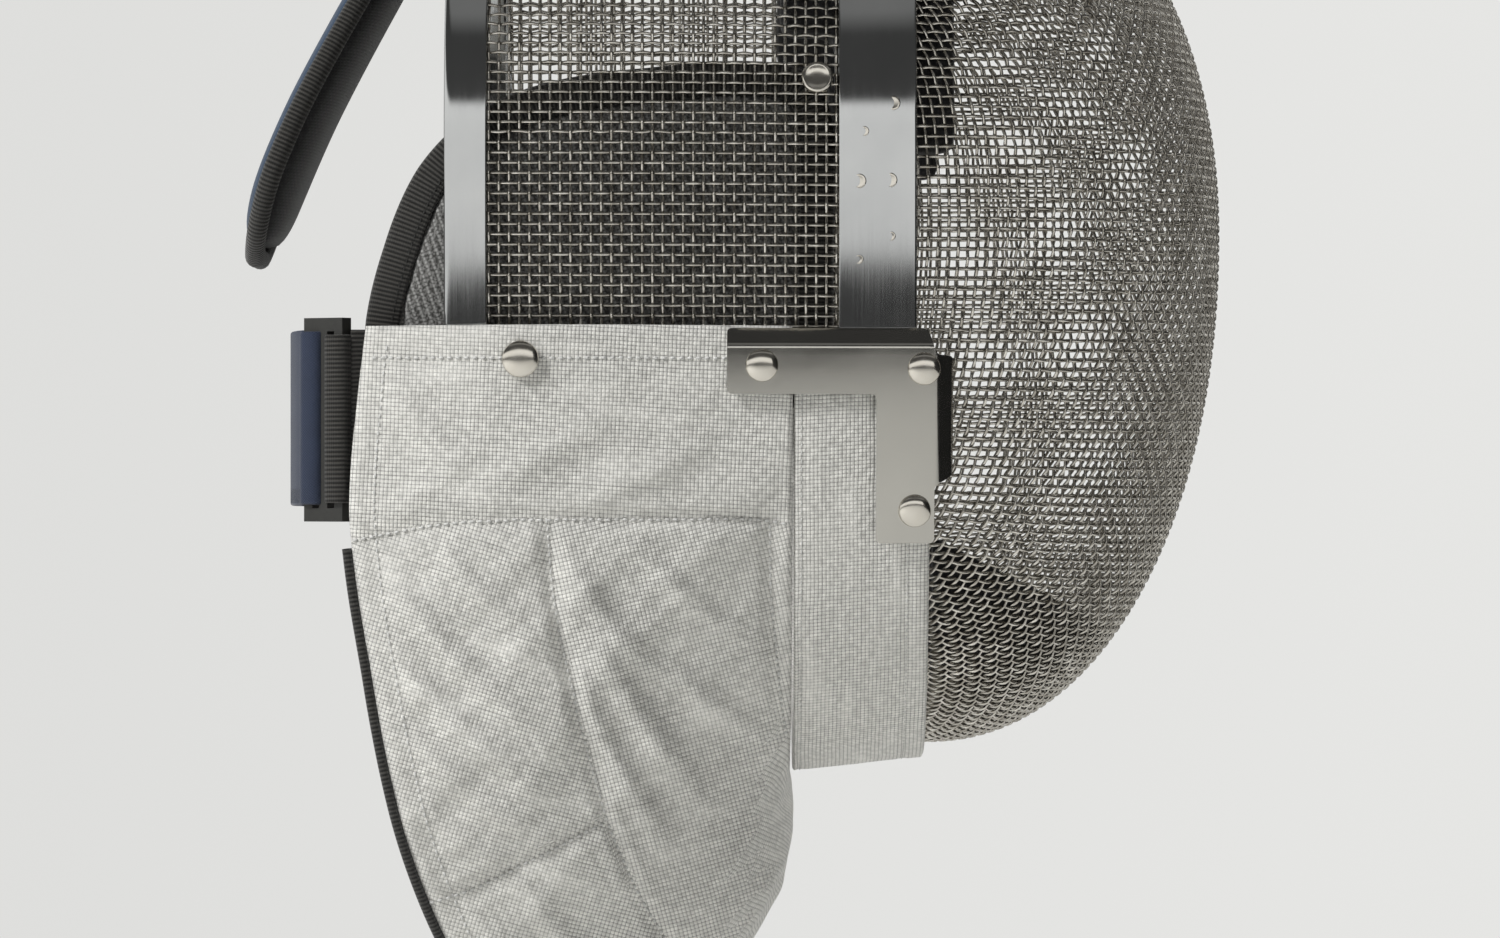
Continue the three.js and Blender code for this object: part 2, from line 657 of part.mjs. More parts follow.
function webbing(name, side) {
  const points = [[91.6, 72], [89.6, 82], [88.6, 91], [89.3, 97.4]];
  return mesh(name, standing(points.map(([x, y]) => [side * x, y]), STRAP, 6), blackCloth);
}

// A flat frame with a narrow slot on each side of its middle bar.
function slider(name, side) {
  const { top, bottom, bar, upright, thick, length, x: across, y: depth, turn } = SLIDER;
  const height = top - bottom;
  const box = (x, w, z, h) => {
    const made = new THREE.BoxGeometry(w, thick, h);
    made.translate(x, 0, z);
    return made;
  };
  const reach = (length - upright) / 2;
  const frame = join(
    box(0, length, (height - bar) / 2, bar), box(0, length, -(height - bar) / 2, bar),
    ...[-reach, 0, reach].map((x) => box(x, upright, 0, height)),
  );
  const made = mesh(name, frame, plastic);
  made.position.set(side * across, depth, (top + bottom) / 2);
  made.rotation.z = side * turn;
  return made;
}

// ---- the mask ----
const fencingMask = new THREE.Group();
fencingMask.add(faceMesh(), sideMesh(), frontBand(), rearChannel());
fencingMask.add(chinStrip(), bib(), bibPiping(), foreheadPad(), chinPad());
fencingMask.add(tonguePad(), tongueBinding(), tongueSpring(), backStrap());
for (const [hand, side] of [["right", -1], ["left", 1]]) {
  const half = new THREE.Group();
  half.add(bracket(`bracket_${hand}`, side), ...studs(hand, side));
  half.add(earPad(`ear_pad_${hand}`, side), earBinding(`ear_binding_${hand}`, side));
  half.add(webbing(`webbing_${hand}`, side), slider(`slider_${hand}`, side));
  fencingMask.add(half);
}

export default fencingMask;
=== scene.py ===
"""A sabre fencing mask: woven wire, steel fittings, a padded silver bib, pads, a tongue and a strap."""
import math

import bmesh
import bpy
import numpy as np
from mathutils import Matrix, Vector, noise
from mathutils.bvhtree import BVHTree


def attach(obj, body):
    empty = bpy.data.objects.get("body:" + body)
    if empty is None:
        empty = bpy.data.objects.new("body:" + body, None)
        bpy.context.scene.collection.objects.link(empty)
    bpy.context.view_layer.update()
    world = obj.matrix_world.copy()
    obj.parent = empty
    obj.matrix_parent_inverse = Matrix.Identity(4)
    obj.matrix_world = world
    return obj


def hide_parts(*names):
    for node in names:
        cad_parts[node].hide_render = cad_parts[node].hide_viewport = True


bl_info = {
    "name": "Fencing mask",
    "version": (1, 0, 0),
    "blender": (4, 5, 0),
    "location": "View3D > Sidebar > Mask",
    "description": "Builds a fencing mask piece by piece on its packed frame",
    "category": "Object",
}

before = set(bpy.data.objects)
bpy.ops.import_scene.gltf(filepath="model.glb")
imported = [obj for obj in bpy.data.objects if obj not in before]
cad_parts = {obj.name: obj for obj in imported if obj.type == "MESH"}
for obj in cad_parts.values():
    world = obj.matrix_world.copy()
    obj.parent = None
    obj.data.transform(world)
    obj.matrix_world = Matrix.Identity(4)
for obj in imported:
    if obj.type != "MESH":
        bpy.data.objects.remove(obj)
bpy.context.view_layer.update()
MM = 0.001

# ---- sizes of the frame, in millimetres ----
CROWN_Z, ARCH_RADIUS = 14, 98
ARCH_Z = CROWN_Z - ARCH_RADIUS
CHIN_DROP, CHIN_POWER, CHIN_SLOPE = 183, 2.5, 0.11
TAPER_START, TAPER = 30, 4e-4
RIM_Y, FACE_DEPTH, FACE_Z = -75.3, 89.3, -111
FACE_TOP, FACE_BOTTOM = CROWN_Z - FACE_Z, FACE_Z - (ARCH_Z - CHIN_DROP)
PROFILE_POWER, SECTION_POWER = 2.1, 1.85
STRIP = {"front": -73, "rear": -33, "inner": 0.6, "outer": 4.4, "top": -149}
BIB_THICK, SEAM_Y, SEAM_OFFSET = 4, -32.6, 4.8


# ---- the wall of the mask ----
def half_width(y):
    return ARCH_RADIUS - TAPER * np.maximum(0, TAPER_START - y) ** 2


def chin_drop(y):
    return CHIN_DROP + CHIN_SLOPE * np.maximum(0, y - STRIP["front"])


def outline(a, y):
    """Points seen from the front: a is 0 at the crown, 1 at the widest level, 2 at the chin."""
    a, y = np.broadcast_arrays(np.asarray(a, float), np.asarray(y, float))
    turn = np.abs(a) * math.pi / 2
    side = np.sign(a) * half_width(y)
    jaw = np.clip(turn - math.pi / 2, 0, math.pi / 2)
    low = turn > math.pi / 2
    x = np.where(low, side * np.maximum(0, np.cos(jaw)) ** (2 / CHIN_POWER), side * np.sin(turn))
    z = np.where(low, ARCH_Z - chin_drop(y) * np.sin(jaw) ** (2 / CHIN_POWER),
                 ARCH_Z + ARCH_RADIUS * np.cos(turn))
    return np.stack([x, y, z], -1)


def level(z, y=RIM_Y):
    z = np.asarray(z, float)
    high = np.arccos(np.clip((z - ARCH_Z) / ARCH_RADIUS, -1, 1)) / (math.pi / 2)
    share = np.clip((ARCH_Z - z) / chin_drop(y), 0, 1)
    return np.where(z >= ARCH_Z, high, 1 + np.arcsin(share ** (CHIN_POWER / 2)) / (math.pi / 2))


def wall(a, y, offset=0.0):
    """A point on the wall, moved out square to it by offset."""
    a = np.asarray(a, float)
    point = outline(a, y)
    along = outline(np.minimum(2, a + 0.01), y) - outline(np.maximum(-2, a - 0.01), y)
    out = np.stack([-along[..., 2], np.zeros(along.shape[:-1]), along[..., 0]], -1)
    out /= np.maximum(np.linalg.norm(out, axis=-1, keepdims=True), 1e-9)
    out[np.abs(a) > 1.99] = (0, 0, -1)
    return point + out * np.asarray(offset)[..., None]


def path_places(y, bottom, count):
    """Places from one side over the crown to the other, evenly spaced along the wall."""
    end = float(level(bottom, y))
    dense = np.linspace(-end, end, 2001)
    points = outline(dense, y)
    run = np.concatenate([[0], np.cumsum(np.linalg.norm(np.diff(points, axis=0), axis=1))])
    return np.interp(np.linspace(0, run[-1], count), run, dense), run[-1]


def spline(points, count, dense=24):
    """A centripetal Catmull-Rom curve through points, sampled evenly."""
    p = np.asarray(points, float)
    p = np.vstack([2 * p[0] - p[1], p, 2 * p[-1] - p[-2]])
    out = []
    for i in range(1, len(p) - 2):
        knots = [0.0]
        for j in range(3):
            knots.append(knots[-1] + max(np.linalg.norm(p[i + j] - p[i + j - 1]), 1e-6) ** 0.5)
        for t in np.linspace(knots[1], knots[2], dense, endpoint=False):
            row = [p[i - 1 + j] for j in range(4)]
            for rank in (1, 2, 3):
                row = [((knots[j + rank] - t) * row[j] + (t - knots[j]) * row[j + 1])
                       / (knots[j + rank] - knots[j]) for j in range(4 - rank)]
            out.append(row[0])
    out = np.array(out + [p[-2]])
    run = np.concatenate([[0], np.cumsum(np.linalg.norm(np.diff(out, axis=0), axis=1))])
    places = np.linspace(0, run[-1], count)
    return np.stack([np.interp(places, run, out[:, k]) for k in range(out.shape[1])], 1)


# ---- meshes ----
def piece(name, points, faces, finish, slot, replaced=(), attribute=None, smooth=True, finishes=None):
    """A finished piece of the mask from points in millimetres."""
    mesh = bpy.data.meshes.new(name)
    mesh.from_pydata((np.asarray(points) * MM).tolist(), [], [tuple(map(int, f)) for f in faces])
    for material in [finish] if finishes is None else finishes[0]:
        mesh.materials.append(material)
    if finishes is not None:
        mesh.polygons.foreach_set("material_index", finishes[1])
    if attribute is not None:
        domain = "POINT" if len(attribute) == len(points) else "CORNER"
        layer = mesh.attributes.new("cloth", "FLOAT_VECTOR", domain)
        flat = np.zeros((len(attribute), 3))
        flat[:, :2] = np.asarray(attribute) * MM
        layer.data.foreach_set("vector", flat.ravel())
    mesh.polygons.foreach_set("use_smooth", [smooth] * len(mesh.polygons))
    mesh.validate()
    thing = bpy.data.objects.new(name, mesh)
    bpy.context.scene.collection.objects.link(thing)
    return fitted(thing, slot, replaced)


def fitted(thing, slot, replaced=()):
    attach(thing, "root")
    if replaced:
        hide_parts(*replaced)
    return thing


def grid_faces(rows, cols, wrap=False, flip=False):
    found = []
    for r in range(rows - 1):
        for c in range(cols if wrap else cols - 1):
            a, b = r * cols + c, r * cols + (c + 1) % cols
            quad = (a, b, b + cols, a + cols)
            found.append(quad[::-1] if flip else quad)
    return found


def outwards(points, faces):
    """Faces turned to point out of the closed body that they make."""
    p = np.asarray(points, float)
    p = p - p.mean(0)
    volume = 0.0
    for f in faces:
        for k in range(1, len(f) - 1):
            volume += np.dot(p[f[0]], np.cross(p[f[k]], p[f[k + 1]]))
    return faces if volume > 0 else [tuple(reversed(f)) for f in faces]


def swept(rings):
    """Points, faces and flat coordinates of a tube through equal closed rings, with ends closed."""
    rings = np.asarray(rings, float)
    count, n = rings.shape[:2]
    faces = grid_faces(count, n, wrap=True)
    points = np.vstack([rings.reshape(-1, 3), rings[0].mean(0), rings[-1].mean(0)])
    first, last = count * n, count * n + 1
    for i in range(n):
        j = (i + 1) % n
        faces.append((first, j, i))
        faces.append((last, (count - 1) * n + i, (count - 1) * n + j))
    centres = rings.mean(1)
    along = np.concatenate([[0], np.cumsum(np.linalg.norm(np.diff(centres, axis=0), axis=1))])
    ring = rings[count // 2]
    around = np.concatenate([[0], np.cumsum(np.linalg.norm(np.diff(ring, axis=0), axis=1))])
    flat = np.stack(np.broadcast_arrays(along[:, None], around[None, :]), -1).reshape(-1, 2)
    flat = np.vstack([flat, [along[0], 0], [along[-1], 0]])
    return points, outwards(points, faces), flat


def grid_normals(grid):
    across = np.gradient(grid, axis=1)
    down = np.gradient(grid, axis=0)
    normal = np.cross(down, across)
    return normal / np.maximum(np.linalg.norm(normal, axis=-1, keepdims=True), 1e-9)


def shell(outer, inner):
    """A closed wall between two equal grids, with its flat coordinates."""
    rows, cols = outer.shape[:2]
    size = rows * cols
    faces = grid_faces(rows, cols) + [tuple(size + i for i in f) for f in grid_faces(rows, cols, flip=True)]
    edge = [(r, 0) for r in range(rows)] + [(rows - 1, c) for c in range(1, cols)]
    edge += [(r, cols - 1) for r in range(rows - 2, -1, -1)] + [(0, c) for c in range(cols - 2, 0, -1)]
    ring = [r * cols + c for r, c in edge]
    for i, a in enumerate(ring):
        b = ring[(i + 1) % len(ring)]
        faces.append((a, b, size + b, size + a))
    points = np.vstack([outer.reshape(-1, 3), inner.reshape(-1, 3)])
    u = np.cumsum(np.pad(np.linalg.norm(np.diff(outer, axis=1), axis=-1), ((0, 0), (1, 0))), axis=1)
    v = np.cumsum(np.pad(np.linalg.norm(np.diff(outer, axis=0), axis=-1), ((1, 0), (0, 0))), axis=0)
    flat = np.stack([u, np.broadcast_to(v[:, cols // 2, None], u.shape)], -1).reshape(-1, 2)
    return points, faces, np.vstack([flat, flat])


def tube_rings(path, radius, sides=10, squash=1.0):
    path = np.asarray(path, float)
    along = np.gradient(path, axis=0)
    along /= np.linalg.norm(along, axis=1, keepdims=True)
    rings, u = [], None
    for p, t in zip(path, along):
        if u is None:
            u = np.cross(t, (0.3, 0.2, 1.0))
        u = u - t * np.dot(u, t)
        u /= np.linalg.norm(u)
        v = np.cross(t, u)
        turn = np.linspace(0, 2 * math.pi, sides, endpoint=False)
        rings.append(p + radius * (np.outer(np.cos(turn), u) + squash * np.outer(np.sin(turn), v)))
    return rings


# ---- node trees ----
def new_tree(name, sockets):
    tree = bpy.data.node_groups.new(name, "GeometryNodeTree")
    tree.interface.new_socket("Geometry", in_out="INPUT", socket_type="NodeSocketGeometry")
    for label, kind in sockets:
        tree.interface.new_socket(label, in_out="INPUT", socket_type=kind)
    tree.interface.new_socket("Geometry", in_out="OUTPUT", socket_type="NodeSocketGeometry")
    return tree, tree.nodes.new("NodeGroupInput"), tree.nodes.new("NodeGroupOutput")


def finish_tree(tree, start, end, geometry):
    smooth = tree.nodes.new("GeometryNodeSetShadeSmooth")
    real = tree.nodes.new("GeometryNodeRealizeInstances")
    coat = tree.nodes.new("GeometryNodeSetMaterial")
    tree.links.new(geometry, real.inputs[0])
    tree.links.new(real.outputs[0], smooth.inputs[0])
    tree.links.new(smooth.outputs[0], coat.inputs["Geometry"])
    tree.links.new(start.outputs["Material"], coat.inputs["Material"])
    tree.links.new(coat.outputs[0], end.inputs[0])
    return tree


def wire_tree():
    """Round wires along the edges of a mesh of paths."""
    tree, start, end = new_tree("Wires along paths", [
        ("Radius", "NodeSocketFloat"), ("Sides", "NodeSocketInt"), ("Material", "NodeSocketMaterial")])
    line = tree.nodes.new("GeometryNodeMeshToCurve")
    ring = tree.nodes.new("GeometryNodeCurvePrimitiveCircle")
    body = tree.nodes.new("GeometryNodeCurveToMesh")
    body.inputs["Fill Caps"].default_value = True
    tree.links.new(start.outputs["Geometry"], line.inputs[0])
    tree.links.new(start.outputs["Radius"], ring.inputs["Radius"])
    tree.links.new(start.outputs["Sides"], ring.inputs["Resolution"])
    tree.links.new(line.outputs[0], body.inputs["Curve"])
    tree.links.new(ring.outputs[0], body.inputs["Profile Curve"])
    return finish_tree(tree, start, end, body.outputs[0])


def stitch_tree():
    """Short rounded stitches in a row along each path."""
    tree, start, end = new_tree("Stitches along paths", [
        ("Spacing", "NodeSocketFloat"), ("Length", "NodeSocketFloat"), ("Thickness", "NodeSocketFloat"),
        ("Material", "NodeSocketMaterial")])
    line = tree.nodes.new("GeometryNodeMeshToCurve")
    even = tree.nodes.new("GeometryNodeResampleCurve")
    even.mode = "LENGTH"
    tangent = tree.nodes.new("GeometryNodeInputTangent")
    turn = tree.nodes.new("FunctionNodeAlignRotationToVector")
    turn.axis = "X"
    grain = tree.nodes.new("GeometryNodeMeshUVSphere")
    grain.inputs["Segments"].default_value = 6
    grain.inputs["Rings"].default_value = 5
    grain.inputs["Radius"].default_value = 0.5
    size = tree.nodes.new("ShaderNodeCombineXYZ")
    placed = tree.nodes.new("GeometryNodeInstanceOnPoints")
    link = tree.links.new
    link(start.outputs["Geometry"], line.inputs[0])
    link(line.outputs[0], even.inputs["Curve"])
    link(start.outputs["Spacing"], even.inputs["Length"])
    link(tangent.outputs[0], turn.inputs["Vector"])
    link(start.outputs["Length"], size.inputs["X"])
    link(start.outputs["Thickness"], size.inputs["Y"])
    link(start.outputs["Thickness"], size.inputs["Z"])
    link(even.outputs[0], placed.inputs["Points"])
    link(grain.outputs["Mesh"], placed.inputs["Instance"])
    link(turn.outputs[0], placed.inputs["Rotation"])
    link(size.outputs[0], placed.inputs["Scale"])
    return finish_tree(tree, start, end, placed.outputs[0])


def rivet_tree():
    """A domed head at each point, turned to the point's facing direction and scaled to its size."""
    tree, start, end = new_tree("Heads on points", [
        ("Head", "NodeSocketObject"), ("Material", "NodeSocketMaterial")])
    facing = tree.nodes.new("GeometryNodeInputNamedAttribute")
    facing.data_type = "FLOAT_VECTOR"
    facing.inputs["Name"].default_value = "facing"
    size = tree.nodes.new("GeometryNodeInputNamedAttribute")
    size.data_type = "FLOAT_VECTOR"
    size.inputs["Name"].default_value = "size"
    turn = tree.nodes.new("FunctionNodeAlignRotationToVector")
    turn.axis = "Z"
    head = tree.nodes.new("GeometryNodeObjectInfo")
    placed = tree.nodes.new("GeometryNodeInstanceOnPoints")
    link = tree.links.new
    link(start.outputs["Head"], head.inputs[0])
    link(start.outputs["Geometry"], placed.inputs["Points"])
    link(head.outputs["Geometry"], placed.inputs["Instance"])
    link(facing.outputs["Attribute"], turn.inputs["Vector"])
    link(turn.outputs[0], placed.inputs["Rotation"])
    link(size.outputs["Attribute"], placed.inputs["Scale"])
    return finish_tree(tree, start, end, placed.outputs[0])


def grown(name, base, tree, slot, replaced=(), **values):
    """The plain mesh that a node tree makes from a mesh of points or paths."""
    thing = bpy.data.objects.new(name, base)
    bpy.context.scene.collection.objects.link(thing)
    modifier = thing.modifiers.new(name, "NODES")
    modifier.node_group = tree
    for item in tree.interface.items_tree:
        if item.in_out == "INPUT" and item.name in values:
            modifier[item.identifier] = values[item.name]
    evaluated = thing.evaluated_get(bpy.context.evaluated_depsgraph_get())
    made = bpy.data.meshes.new_from_object(evaluated)
    thing.modifiers.clear()
    thing.data = made
    made.name = name
    if not made.polygons:
        raise RuntimeError(f"{name} has no faces")
    return fitted(thing, slot, replaced)


def paths_mesh(name, paths):
    """A mesh of open lines through points in millimetres."""
    points, edges = [], []
    for path in paths:
        first = len(points)
        points.extend((np.asarray(path) * MM).tolist())
        edges.extend((first + i, first + i + 1) for i in range(len(path) - 1))
    mesh = bpy.data.meshes.new(name)
    mesh.from_pydata(points, edges, [])
    return mesh


# ---- finishes ----
class Term:
    """A shader socket that adds up, multiplies and compares like a number."""

    def __init__(self, finish, socket):
        self.finish, self.socket = finish, socket

    def math(self, operation, *others):
        return self.finish.node("ShaderNodeMath", {"operation": operation}, [self, *others])[0]

    def __add__(self, other):
        return self.math("ADD", other)

    def __sub__(self, other):
        return self.math("SUBTRACT", other)

    def __mul__(self, other):
        return self.math("MULTIPLY", other)

    def __truediv__(self, other):
        return self.math("DIVIDE", other)

    def __rsub__(self, other):
        return self.finish.node("ShaderNodeMath", {"operation": "SUBTRACT"}, [other, self])[0]

    __radd__, __rmul__ = __add__, __mul__

    def sine(self):
        return self.math("SINE")

    def size(self):
        return self.math("ABSOLUTE")

    def power(self, other):
        return self.math("POWER", other)

    def above(self, edge, soft):
        """0 below edge, rising to 1 over soft."""
        made = self.finish.node("ShaderNodeMapRange", {"interpolation_type": "SMOOTHSTEP"},
                                {"Value": self, "From Min": edge, "From Max": edge + soft})
        return made[0]


class Finish:
    """One material: its shader and the nodes that feed it."""

    def __init__(self, name, **values):
        self.material = bpy.data.materials.new(name)
        self.material.use_nodes = True
        self.nodes, self.links = self.material.node_tree.nodes, self.material.node_tree.links
        self.shader = self.nodes["Principled BSDF"]
        for label, value in values.items():
            self.shader.inputs[label.replace("_", " ")].default_value = value

    def node(self, kind, settings, values):
        """A node's outputs as terms: settings first, then values or links of its inputs."""
        made = self.nodes.new(kind)
        for label, value in settings.items():
            if label == "stops":
                ramp = made.color_ramp
                while len(ramp.elements) < len(value):
                    ramp.elements.new(0.5)
                for element, (place, colour) in zip(ramp.elements, value):
                    element.position, element.color = place, (*colour, 1)
            else:
                setattr(made, label, value)
        pairs = values.items() if isinstance(values, dict) else enumerate(values)
        for key, value in pairs:
            if isinstance(value, Term):
                self.links.new(value.socket, made.inputs[key])
            else:
                made.inputs[key].default_value = value
        return [Term(self, o) for o in made.outputs if o.enabled]

    def place(self):
        return self.node("ShaderNodeTexCoord", {}, {})[3]

    def cloth(self):
        """The cloth's own flat coordinates, in metres."""
        made = self.nodes.new("ShaderNodeAttribute")
        made.attribute_name = "cloth"
        vector = Term(self, made.outputs["Vector"])
        split = self.node("ShaderNodeSeparateXYZ", {}, [vector])
        return vector, split[0], split[1]

    def noise(self, vector, scale, detail=2.0, stretch=(1, 1, 1)):
        turned = self.node("ShaderNodeMapping", {}, {"Vector": vector, "Scale": stretch})[0]
        return self.node("ShaderNodeTexNoise", {}, {"Vector": turned, "Scale": scale, "Detail": detail})[0]

    def mix(self, share, first, second):
        made = self.nodes.new("ShaderNodeMix")
        made.data_type = "RGBA"
        self.links.new(share.socket, made.inputs["Factor"])
        for label, value in (("A", first), ("B", second)):
            socket = [s for s in made.inputs if s.name == label and s.type == "RGBA"][0]
            if isinstance(value, Term):
                self.links.new(value.socket, socket)
            else:
                socket.default_value = (*value, 1)
        return Term(self, [s for s in made.outputs if s.type == "RGBA"][0])

    def feed(self, label, term):
        self.links.new(term.socket, self.shader.inputs[label])

    def bump(self, height, depth, strength=1.0):
        made = self.node("ShaderNodeBump", {}, {"Height": height, "Distance": depth, "Strength": strength})
        self.links.new(made[0].socket, self.shader.inputs["Normal"])


def steel_wire():
    f = Finish("steel_wire", Metallic=1.0, Roughness=0.3)
    grime = f.noise(f.place(), 260, 3)
    f.feed("Base Color", f.mix(grime.above(0.35, 0.4), (0.42, 0.395, 0.35), (0.84, 0.81, 0.75)))
    f.feed("Roughness", grime * 0.16 + 0.14)
    return f.material


def brushed_steel():
    f = Finish("brushed_steel", Metallic=1.0, Roughness=0.25)
    vector, _, _ = f.cloth()
    lines = f.noise(vector, 900, 4, (0.02, 1.6, 1))
    patches = f.noise(f.place(), 45, 3)
    f.feed("Base Color", f.mix(patches, (0.44, 0.45, 0.455), (0.58, 0.585, 0.585)))
    f.feed("Roughness", lines * 0.10 + patches * 0.05 + 0.02)
    f.bump(lines, 0.00003, 0.5)
    return f.material


def plate_steel():
    f = Finish("plate_steel", Metallic=1.0, Roughness=0.15)
    patches = f.noise(f.place(), 60, 3)
    f.feed("Base Color", f.mix(patches, (0.50, 0.485, 0.45), (0.57, 0.555, 0.515)))
    f.feed("Roughness", patches * 0.1 + 0.1)
    f.bump(f.noise(f.place(), 90, 2), 0.00004, 0.4)
    return f.material


def rivet_steel():
    f = Finish("rivet_steel", Metallic=1.0, Roughness=0.16)
    patches = f.noise(f.place(), 300, 2)
    f.feed("Base Color", f.mix(patches, (0.66, 0.62, 0.55), (0.76, 0.73, 0.67)))
    f.feed("Roughness", patches * 0.1 + 0.12)
    return f.material


def silver_cloth(name="silver_cloth", pitch=0.00118, lines=0.0118, tone=(0.70, 0.69, 0.655)):
    """Plain weave of metallic thread, with fine dark lines across it."""
    f = Finish(name, Metallic=0.25, Roughness=0.55, Sheen_Weight=0.15)
    vector, u, v = f.cloth()
    wander = f.noise(vector, 35, 3) - 0.5
    turn = math.pi / pitch
    warp = ((u + wander * 0.0012) * turn).sine()
    weft = ((v + wander * 0.0012) * turn).sine()
    weave = (warp * weft).size().power(0.6)
    checker = ((u * (turn / 2)).sine() * (v * (turn / 2)).sine())
    height = weave * 0.8 + checker * 0.3
    tint = f.noise(vector, 18, 4)
    fine = f.noise(vector, 2200, 2)
    shimmer = f.noise(vector, 90, 3, (0.35, 1.3, 1))
    # Painted light and shade over the weave's own pattern: thread crowns are painted lighter and the gaps between
    # threads darker.
    painted_crown_light = tuple(min(1, c * 1.25) for c in tone)
    painted_gap_shade = tuple(c * 0.38 for c in tone)
    patchy = f.noise(vector, 420, 2).above(0.25, 0.5)
    base = f.mix(weave.above(0.08, 0.5) * (0.55 + patchy * 0.45), painted_gap_shade, painted_crown_light)
    base = f.mix(tint.above(0.35, 0.35) * 0.3, base, tone)
    # Painted sheen: lighter streaks of the cloth's tone where the shimmer noise is high; the same noise also
    # raises the bump.
    base = f.mix(shimmer.above(0.5, 0.25) * 0.4, base, tuple(min(1, c * 1.35) for c in tone))
    dark = ((v * (math.pi / lines)).sine().size()).above(0.0, 0.07)
    breaks = f.noise(vector, 60, 2, (0.4, 2, 1)).above(0.42, 0.16)
    base = f.mix((1 - dark) * breaks * 0.5, base, tuple(c * 0.35 for c in tone))
    f.feed("Base Color", f.mix(fine.above(0.5, 0.3) * 0.35, base, (0.86, 0.86, 0.84)))
    f.feed("Roughness", 0.62 - weave * 0.2)
    f.bump(height + fine * 0.4 + shimmer * 1.2, 0.00030, 0.8)
    return f.material


def woven_black(name="black_cloth", pitch=0.0009):
    f = Finish(name, Roughness=0.8, Sheen_Weight=0.2)
    vector = f.place()
    split = f.node("ShaderNodeSeparateXYZ", {}, [vector])
    turn = math.pi / pitch
    weave = ((split[1] * turn).sine() * (split[2] * turn).sine()).size()
    lint = f.noise(vector, 900, 3)
    f.feed("Base Color", f.mix(lint.above(0.45, 0.4), (0.008, 0.008, 0.009), (0.03, 0.03, 0.032)))
    f.bump(weave + lint * 0.5, 0.00012, 0.6)
    return f.material


def ribbed_black(name="black_ribbon", rib=0.0013, tone=(0.022, 0.021, 0.019)):
    """Ribbon with ribs square to its length."""
    f = Finish(name, Roughness=0.65, Sheen_Weight=0.15)
    vector, u, v = f.cloth()
    ribs = (u * (2 * math.pi / rib)).sine() * 0.5 + 0.5
    cross = ((v * (2 * math.pi / 0.0007)).sine()) * 0.5 + 0.5
    lint = f.noise(vector, 1500, 2)
    # Painted light and shade: the rib crowns are painted lighter and the grooves between ribs darker.
    f.feed("Base Color", f.mix(ribs.power(1.5), tuple(c * 0.25 for c in tone), tuple(c * 2.1 for c in tone)))
    f.feed("Roughness", 0.75 - ribs * 0.2)
    f.bump(ribs + cross * 0.25 + lint * 0.3, 0.00025, 0.9)
    return f.material


def grey_cloth():
    """Flecked grey cloth with light lines running aslant."""
    f = Finish("grey_cloth", Roughness=0.9, Sheen_Weight=0.2)
    vector = f.place()
    split = f.node("ShaderNodeSeparateXYZ", {}, [vector])
    slant = split[1] * 0.94 - split[2] * 0.34
    other = split[1] * 0.34 + split[2] * 0.94
    lines = ((slant * (math.pi / 0.0021)).sine().size()).power(6)
    steps = ((other * (math.pi / 0.0012)).sine().size())
    fleck = f.noise(vector, 1400, 3)
    base = f.mix(fleck.above(0.38, 0.3), (0.035, 0.034, 0.032), (0.17, 0.168, 0.162))
    f.feed("Base Color", f.mix(lines * steps * 0.7, base, (0.36, 0.36, 0.35)))
    f.bump(lines * 0.6 + fleck, 0.0002, 0.7)
    return f.material


def navy_cloth(name="navy_cloth", tone=(0.017, 0.024, 0.045)):
    f = Finish(name, Roughness=0.7, Sheen_Weight=0.15)
    vector, u, v = f.cloth()
    turn = 2 * math.pi / 0.0008
    weave = (u * turn).sine() * (v * turn).sine() * 0.5 + 0.5
    worn = f.noise(vector, 120, 4)
    # Partly painted light and partly wear: thread crowns of the weave are painted lighter and the gaps darker,
    # and the worn noise lightens the cloth at random.
    light = tuple(min(1, c * 1.8) for c in tone)
    f.feed("Base Color", f.mix(weave * 0.5 + worn * 0.4, tuple(c * 0.6 for c in tone), light))
    f.bump(weave + worn * 0.5, 0.00015, 0.7)
    return f.material


def black_plastic():
    f = Finish("black_plastic", Roughness=0.35)
    grain = f.noise(f.place(), 700, 3)
    f.feed("Base Color", f.mix(grain, (0.016, 0.016, 0.015), (0.034, 0.034, 0.031)))
    f.feed("Roughness", grain * 0.2 + 0.28)
    f.bump(grain, 0.00005, 0.5)
    return f.material


def thread(name, tone):
    f = Finish(name, Roughness=0.6, Sheen_Weight=0.1)
    f.feed("Base Color", f.mix(f.noise(f.place(), 1500, 2), tuple(c * 0.7 for c in tone), tone))
    return f.material


FINISH = {}


def finish_named(name):
    makers = {
        "steel_wire": steel_wire, "brushed_steel": brushed_steel, "plate_steel": plate_steel,
        "rivet_steel": rivet_steel, "silver_cloth": silver_cloth, "black_cloth": woven_black,
        "black_ribbon": ribbed_black, "grey_cloth": grey_cloth, "navy_cloth": navy_cloth,
        "black_plastic": black_plastic,
        "silver_thread": lambda: thread("silver_thread", (0.66, 0.66, 0.64)),
        "black_thread": lambda: thread("black_thread", (0.02, 0.02, 0.019)),
        "blue_cloth": lambda: navy_cloth("blue_cloth", (0.018, 0.036, 0.066)),
    }
    if name not in FINISH:
        FINISH[name] = makers[name]()
    return FINISH[name]


# ---- settings ----
class MaskWire(bpy.types.PropertyGroup):
    diameter: bpy.props.FloatProperty(name="Wire diameter", description="Thickness of each wire",
                                      default=0.001, unit="LENGTH")
    pitch: bpy.props.FloatProperty(name="Pitch", description="Distance between neighbouring wires",
                                   default=0.003, unit="LENGTH")
    knuckle: bpy.props.FloatProperty(name="Knuckle", description="Length of the flat part over a crossing",
                                     default=0.0012, unit="LENGTH")
    sides: bpy.props.IntProperty(name="Sides", description="Faces around each wire", default=5)


